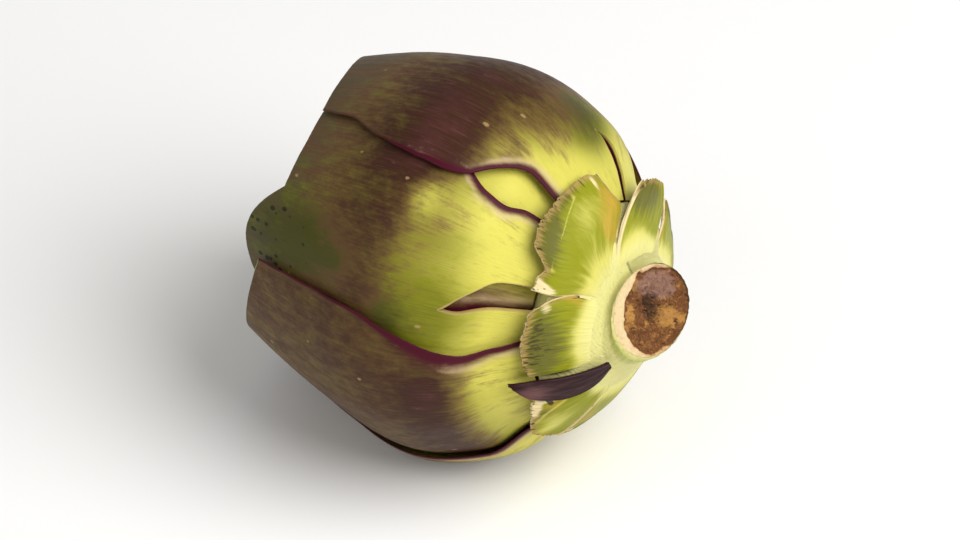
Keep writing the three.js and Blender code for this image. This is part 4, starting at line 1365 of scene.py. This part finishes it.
class ArtichokeStemSettings(bpy.types.PropertyGroup):
    """Ridges and colours of the stem."""

    ridge_height: length_setting("Ridges", "Height of the stem's lengthwise ridges", 0.16)
    flesh_pale: colour_setting("Pale flesh", "Flare below the stubs", "#d6d084")
    flesh_green: colour_setting("Green flesh", "Flesh in the hollows", "#b3b556")
    # also the colour of the painted shadow along the tongue
    skin_and_shadow_olive: colour_setting("Stem skin", "Skin left on the far side", "#5c5530")
    ring_cream: colour_setting("Cut ring", "Ring of firm flesh at the cut", "#dcc394")
    ring_tan: colour_setting("Ring tan", "Drying spots in the ring", "#b27b42")
    pith_brown: colour_setting("Pith brown", "Dried pith", "#6b401d")
    pith_ochre: colour_setting("Pith ochre", "Paler fibres of the pith", "#b07f3e")
    pith_mauve: colour_setting("Pith mauve", "Greyer patches of the pith", "#866458")
    pith_dark: colour_setting("Pith hollow", "Where the pith has sunk", "#2c190c")


class ArtichokeStageSettings(bpy.types.PropertyGroup):
    """Floor, lights and camera."""

    floor_colour: colour_setting("Floor", "Plain pale floor", "#f4f3f1")
    key_power: power_setting("Key light", "Power of the large soft light", 14.5)
    fill_power: power_setting("Fill light", "Power of the light from the left", 1.8)
    sky: FloatProperty(name="Sky", description="Strength of the even light", min=0, default=0.4)
    azimuth: angle_setting("Azimuth", "Camera's turn round the object", 34.8)
    elevation: angle_setting("Elevation", "Camera's height above the horizon", 39.0)
    distance: length_setting("Distance", "Camera to the middle of the head", 1350)
    lens: FloatProperty(name="Lens", description="Focal length in mm", min=1, default=246.0)


# ---------------------------------------------------------------- operators

# Metres. Each light has its width across, and its place to the right of, above and beyond the
# place that the camera looks at.
LOOKED_AT = Vector((0.0026, -0.001, 0.0405))
KEY_LIGHT = (1.0, (0.62, 0.8, -0.42))
FILL_LIGHT = (0.9, (-0.8, 0.6, -0.5))
FLOOR_HALF_WIDTH = 3.0
FLOOR_GAP = 0.00005


class ARTICHOKE_OT_bracts(bpy.types.Operator):
    """Builds the six outermost bracts and those nested inside them"""

    bl_idname = "artichoke.bracts"
    bl_label = "Bracts"

    def execute(self, context):
        settings = context.scene.artichoke_bracts
        material = make_material(BRACT_SKIN, settings)
        for number, bract in enumerate(OUTER_BRACTS):
            seed = BRACT_SEED + SEED_STEP * number
            build_bract(bract, settings, material, OUTER_GRID, seed)
        for number, bract in enumerate(INNER):
            grid = SEEN_GRID if number < SEEN_INNER else HIDDEN_GRID
            seed = INNER_SEED + SEED_STEP * number
            build_bract(bract, settings, material, grid, seed)
        return {"FINISHED"}


class ARTICHOKE_OT_torn_stubs(bpy.types.Operator):
    """Builds the stubs of the lowest bracts, which were torn off"""

    bl_idname = "artichoke.torn_stubs"
    bl_label = "Torn stubs"

    def execute(self, context):
        settings = context.scene.artichoke_stubs
        material = make_material(TORN_BRACT, settings)
        for number, stub in enumerate(STUBS):
            build_stub(stub, settings, material, STUB_SEED + SEED_STEP * number)
        return {"FINISHED"}


class ARTICHOKE_OT_stem(bpy.types.Operator):
    """Builds the stem with its cut end and the base that carries the bracts"""

    bl_idname = "artichoke.stem"
    bl_label = "Stem and base"

    def execute(self, context):
        settings = context.scene.artichoke_stem
        build_stem(settings, make_material(STEM_FLESH, settings), STEM_SEED)
        return {"FINISHED"}


class ARTICHOKE_OT_stage(bpy.types.Operator):
    """Makes the plain floor, the soft lights and the camera"""

    bl_idname = "artichoke.stage"
    bl_label = "Stage"

    def execute(self, context):
        scene, settings = context.scene, context.scene.artichoke_stage
        self.make_floor(scene, settings)
        sideways, forwards = math.sin(settings.azimuth), math.cos(settings.azimuth)
        flat = math.cos(settings.elevation)
        back = Vector((sideways * flat, -forwards * flat, math.sin(settings.elevation)))
        right, up = Vector((forwards, sideways, 0)), Vector((0, 0, 1))
        level = Vector((-sideways, forwards, 0))
        camera = bpy.data.objects.new("camera", bpy.data.cameras.new("camera"))
        camera.data.lens = settings.lens
        camera.data.sensor_width = 36
        camera.data.clip_start = 0.05
        camera.location = LOOKED_AT + back * settings.distance
        camera.rotation_euler = (-back).to_track_quat("-Z", "Y").to_euler()
        scene.collection.objects.link(camera)
        scene.camera = camera
        for name, power, (size, (to_right, above, beyond)) in (
            ("key_light", settings.key_power, KEY_LIGHT),
            ("fill_light", settings.fill_power, FILL_LIGHT),
        ):
            towards = right * to_right + up * above + level * beyond
            self.make_light(scene, name, power, size, LOOKED_AT + towards, towards)
        world = bpy.data.worlds.new("soft_sky")
        world.use_nodes = True
        background = world.node_tree.nodes["Background"]
        background.inputs["Color"].default_value = (1, 1, 1, 1)
        background.inputs["Strength"].default_value = settings.sky
        scene.world = world
        scene.view_settings.view_transform = "Standard"
        return {"FINISHED"}

    def make_floor(self, scene, settings):
        """A square of floor, just below the object."""
        mesh = bpy.data.meshes.new("floor")
        half, z = FLOOR_HALF_WIDTH, -FLOOR_GAP
        corners = [(-half, -half, z), (half, -half, z), (half, half, z), (-half, half, z)]
        mesh.from_pydata(corners, [], [(0, 1, 2, 3)])
        lie = mesh.attributes.new("lie", "FLOAT_VECTOR", "POINT")
        lie.data.foreach_set("vector", [value / MM for corner in corners for value in corner])
        mesh.materials.append(make_material(BOARD, settings))
        floor = bpy.data.objects.new("floor", mesh)
        scene.collection.objects.link(floor)

    def make_light(self, scene, name, power, size, at, away):
        """A round soft light at a place, facing against the given direction."""
        light = bpy.data.lights.new(name, "AREA")
        light.energy, light.shape, light.size = power, "DISK", size
        lamp = bpy.data.objects.new(name, light)
        lamp.location = at
        lamp.rotation_euler = (-away).to_track_quat("-Z", "Y").to_euler()
        scene.collection.objects.link(lamp)


class ARTICHOKE_PT_sidebar(bpy.types.Panel):
    """Lists the artichoke's settings and the steps that build it"""

    bl_label = "Artichoke"
    bl_idname = "ARTICHOKE_PT_sidebar"
    bl_space_type = "VIEW_3D"
    bl_region_type = "UI"
    bl_category = "Artichoke"

    def draw(self, context):
        for operator, group in STEPS:
            box = self.layout.box()
            box.operator(operator.bl_idname)
            settings = getattr(context.scene, group)
            for name in settings.__annotations__:
                box.prop(settings, name)


STEPS = (
    (ARTICHOKE_OT_stage, "artichoke_stage"),
    (ARTICHOKE_OT_stem, "artichoke_stem"),
    (ARTICHOKE_OT_torn_stubs, "artichoke_stubs"),
    (ARTICHOKE_OT_bracts, "artichoke_bracts"),
)
GROUPS = {
    "artichoke_stage": ArtichokeStageSettings,
    "artichoke_stem": ArtichokeStemSettings,
    "artichoke_stubs": ArtichokeStubSettings,
    "artichoke_bracts": ArtichokeBractSettings,
}


def register():
    for group in GROUPS.values():
        bpy.utils.register_class(group)
    for name, group in GROUPS.items():
        setattr(bpy.types.Scene, name, PointerProperty(type=group))
    for operator, _ in STEPS:
        bpy.utils.register_class(operator)
    bpy.utils.register_class(ARTICHOKE_PT_sidebar)


def unregister():
    bpy.utils.unregister_class(ARTICHOKE_PT_sidebar)
    for operator, _ in reversed(STEPS):
        bpy.utils.unregister_class(operator)
    for name, group in reversed(GROUPS.items()):
        delattr(bpy.types.Scene, name)
        bpy.utils.unregister_class(group)


def main():
    register()
    bpy.ops.artichoke.stage()
    bpy.ops.artichoke.stem()
    bpy.ops.artichoke.torn_stubs()
    bpy.ops.artichoke.bracts()


if __name__ == "__main__":
    main()
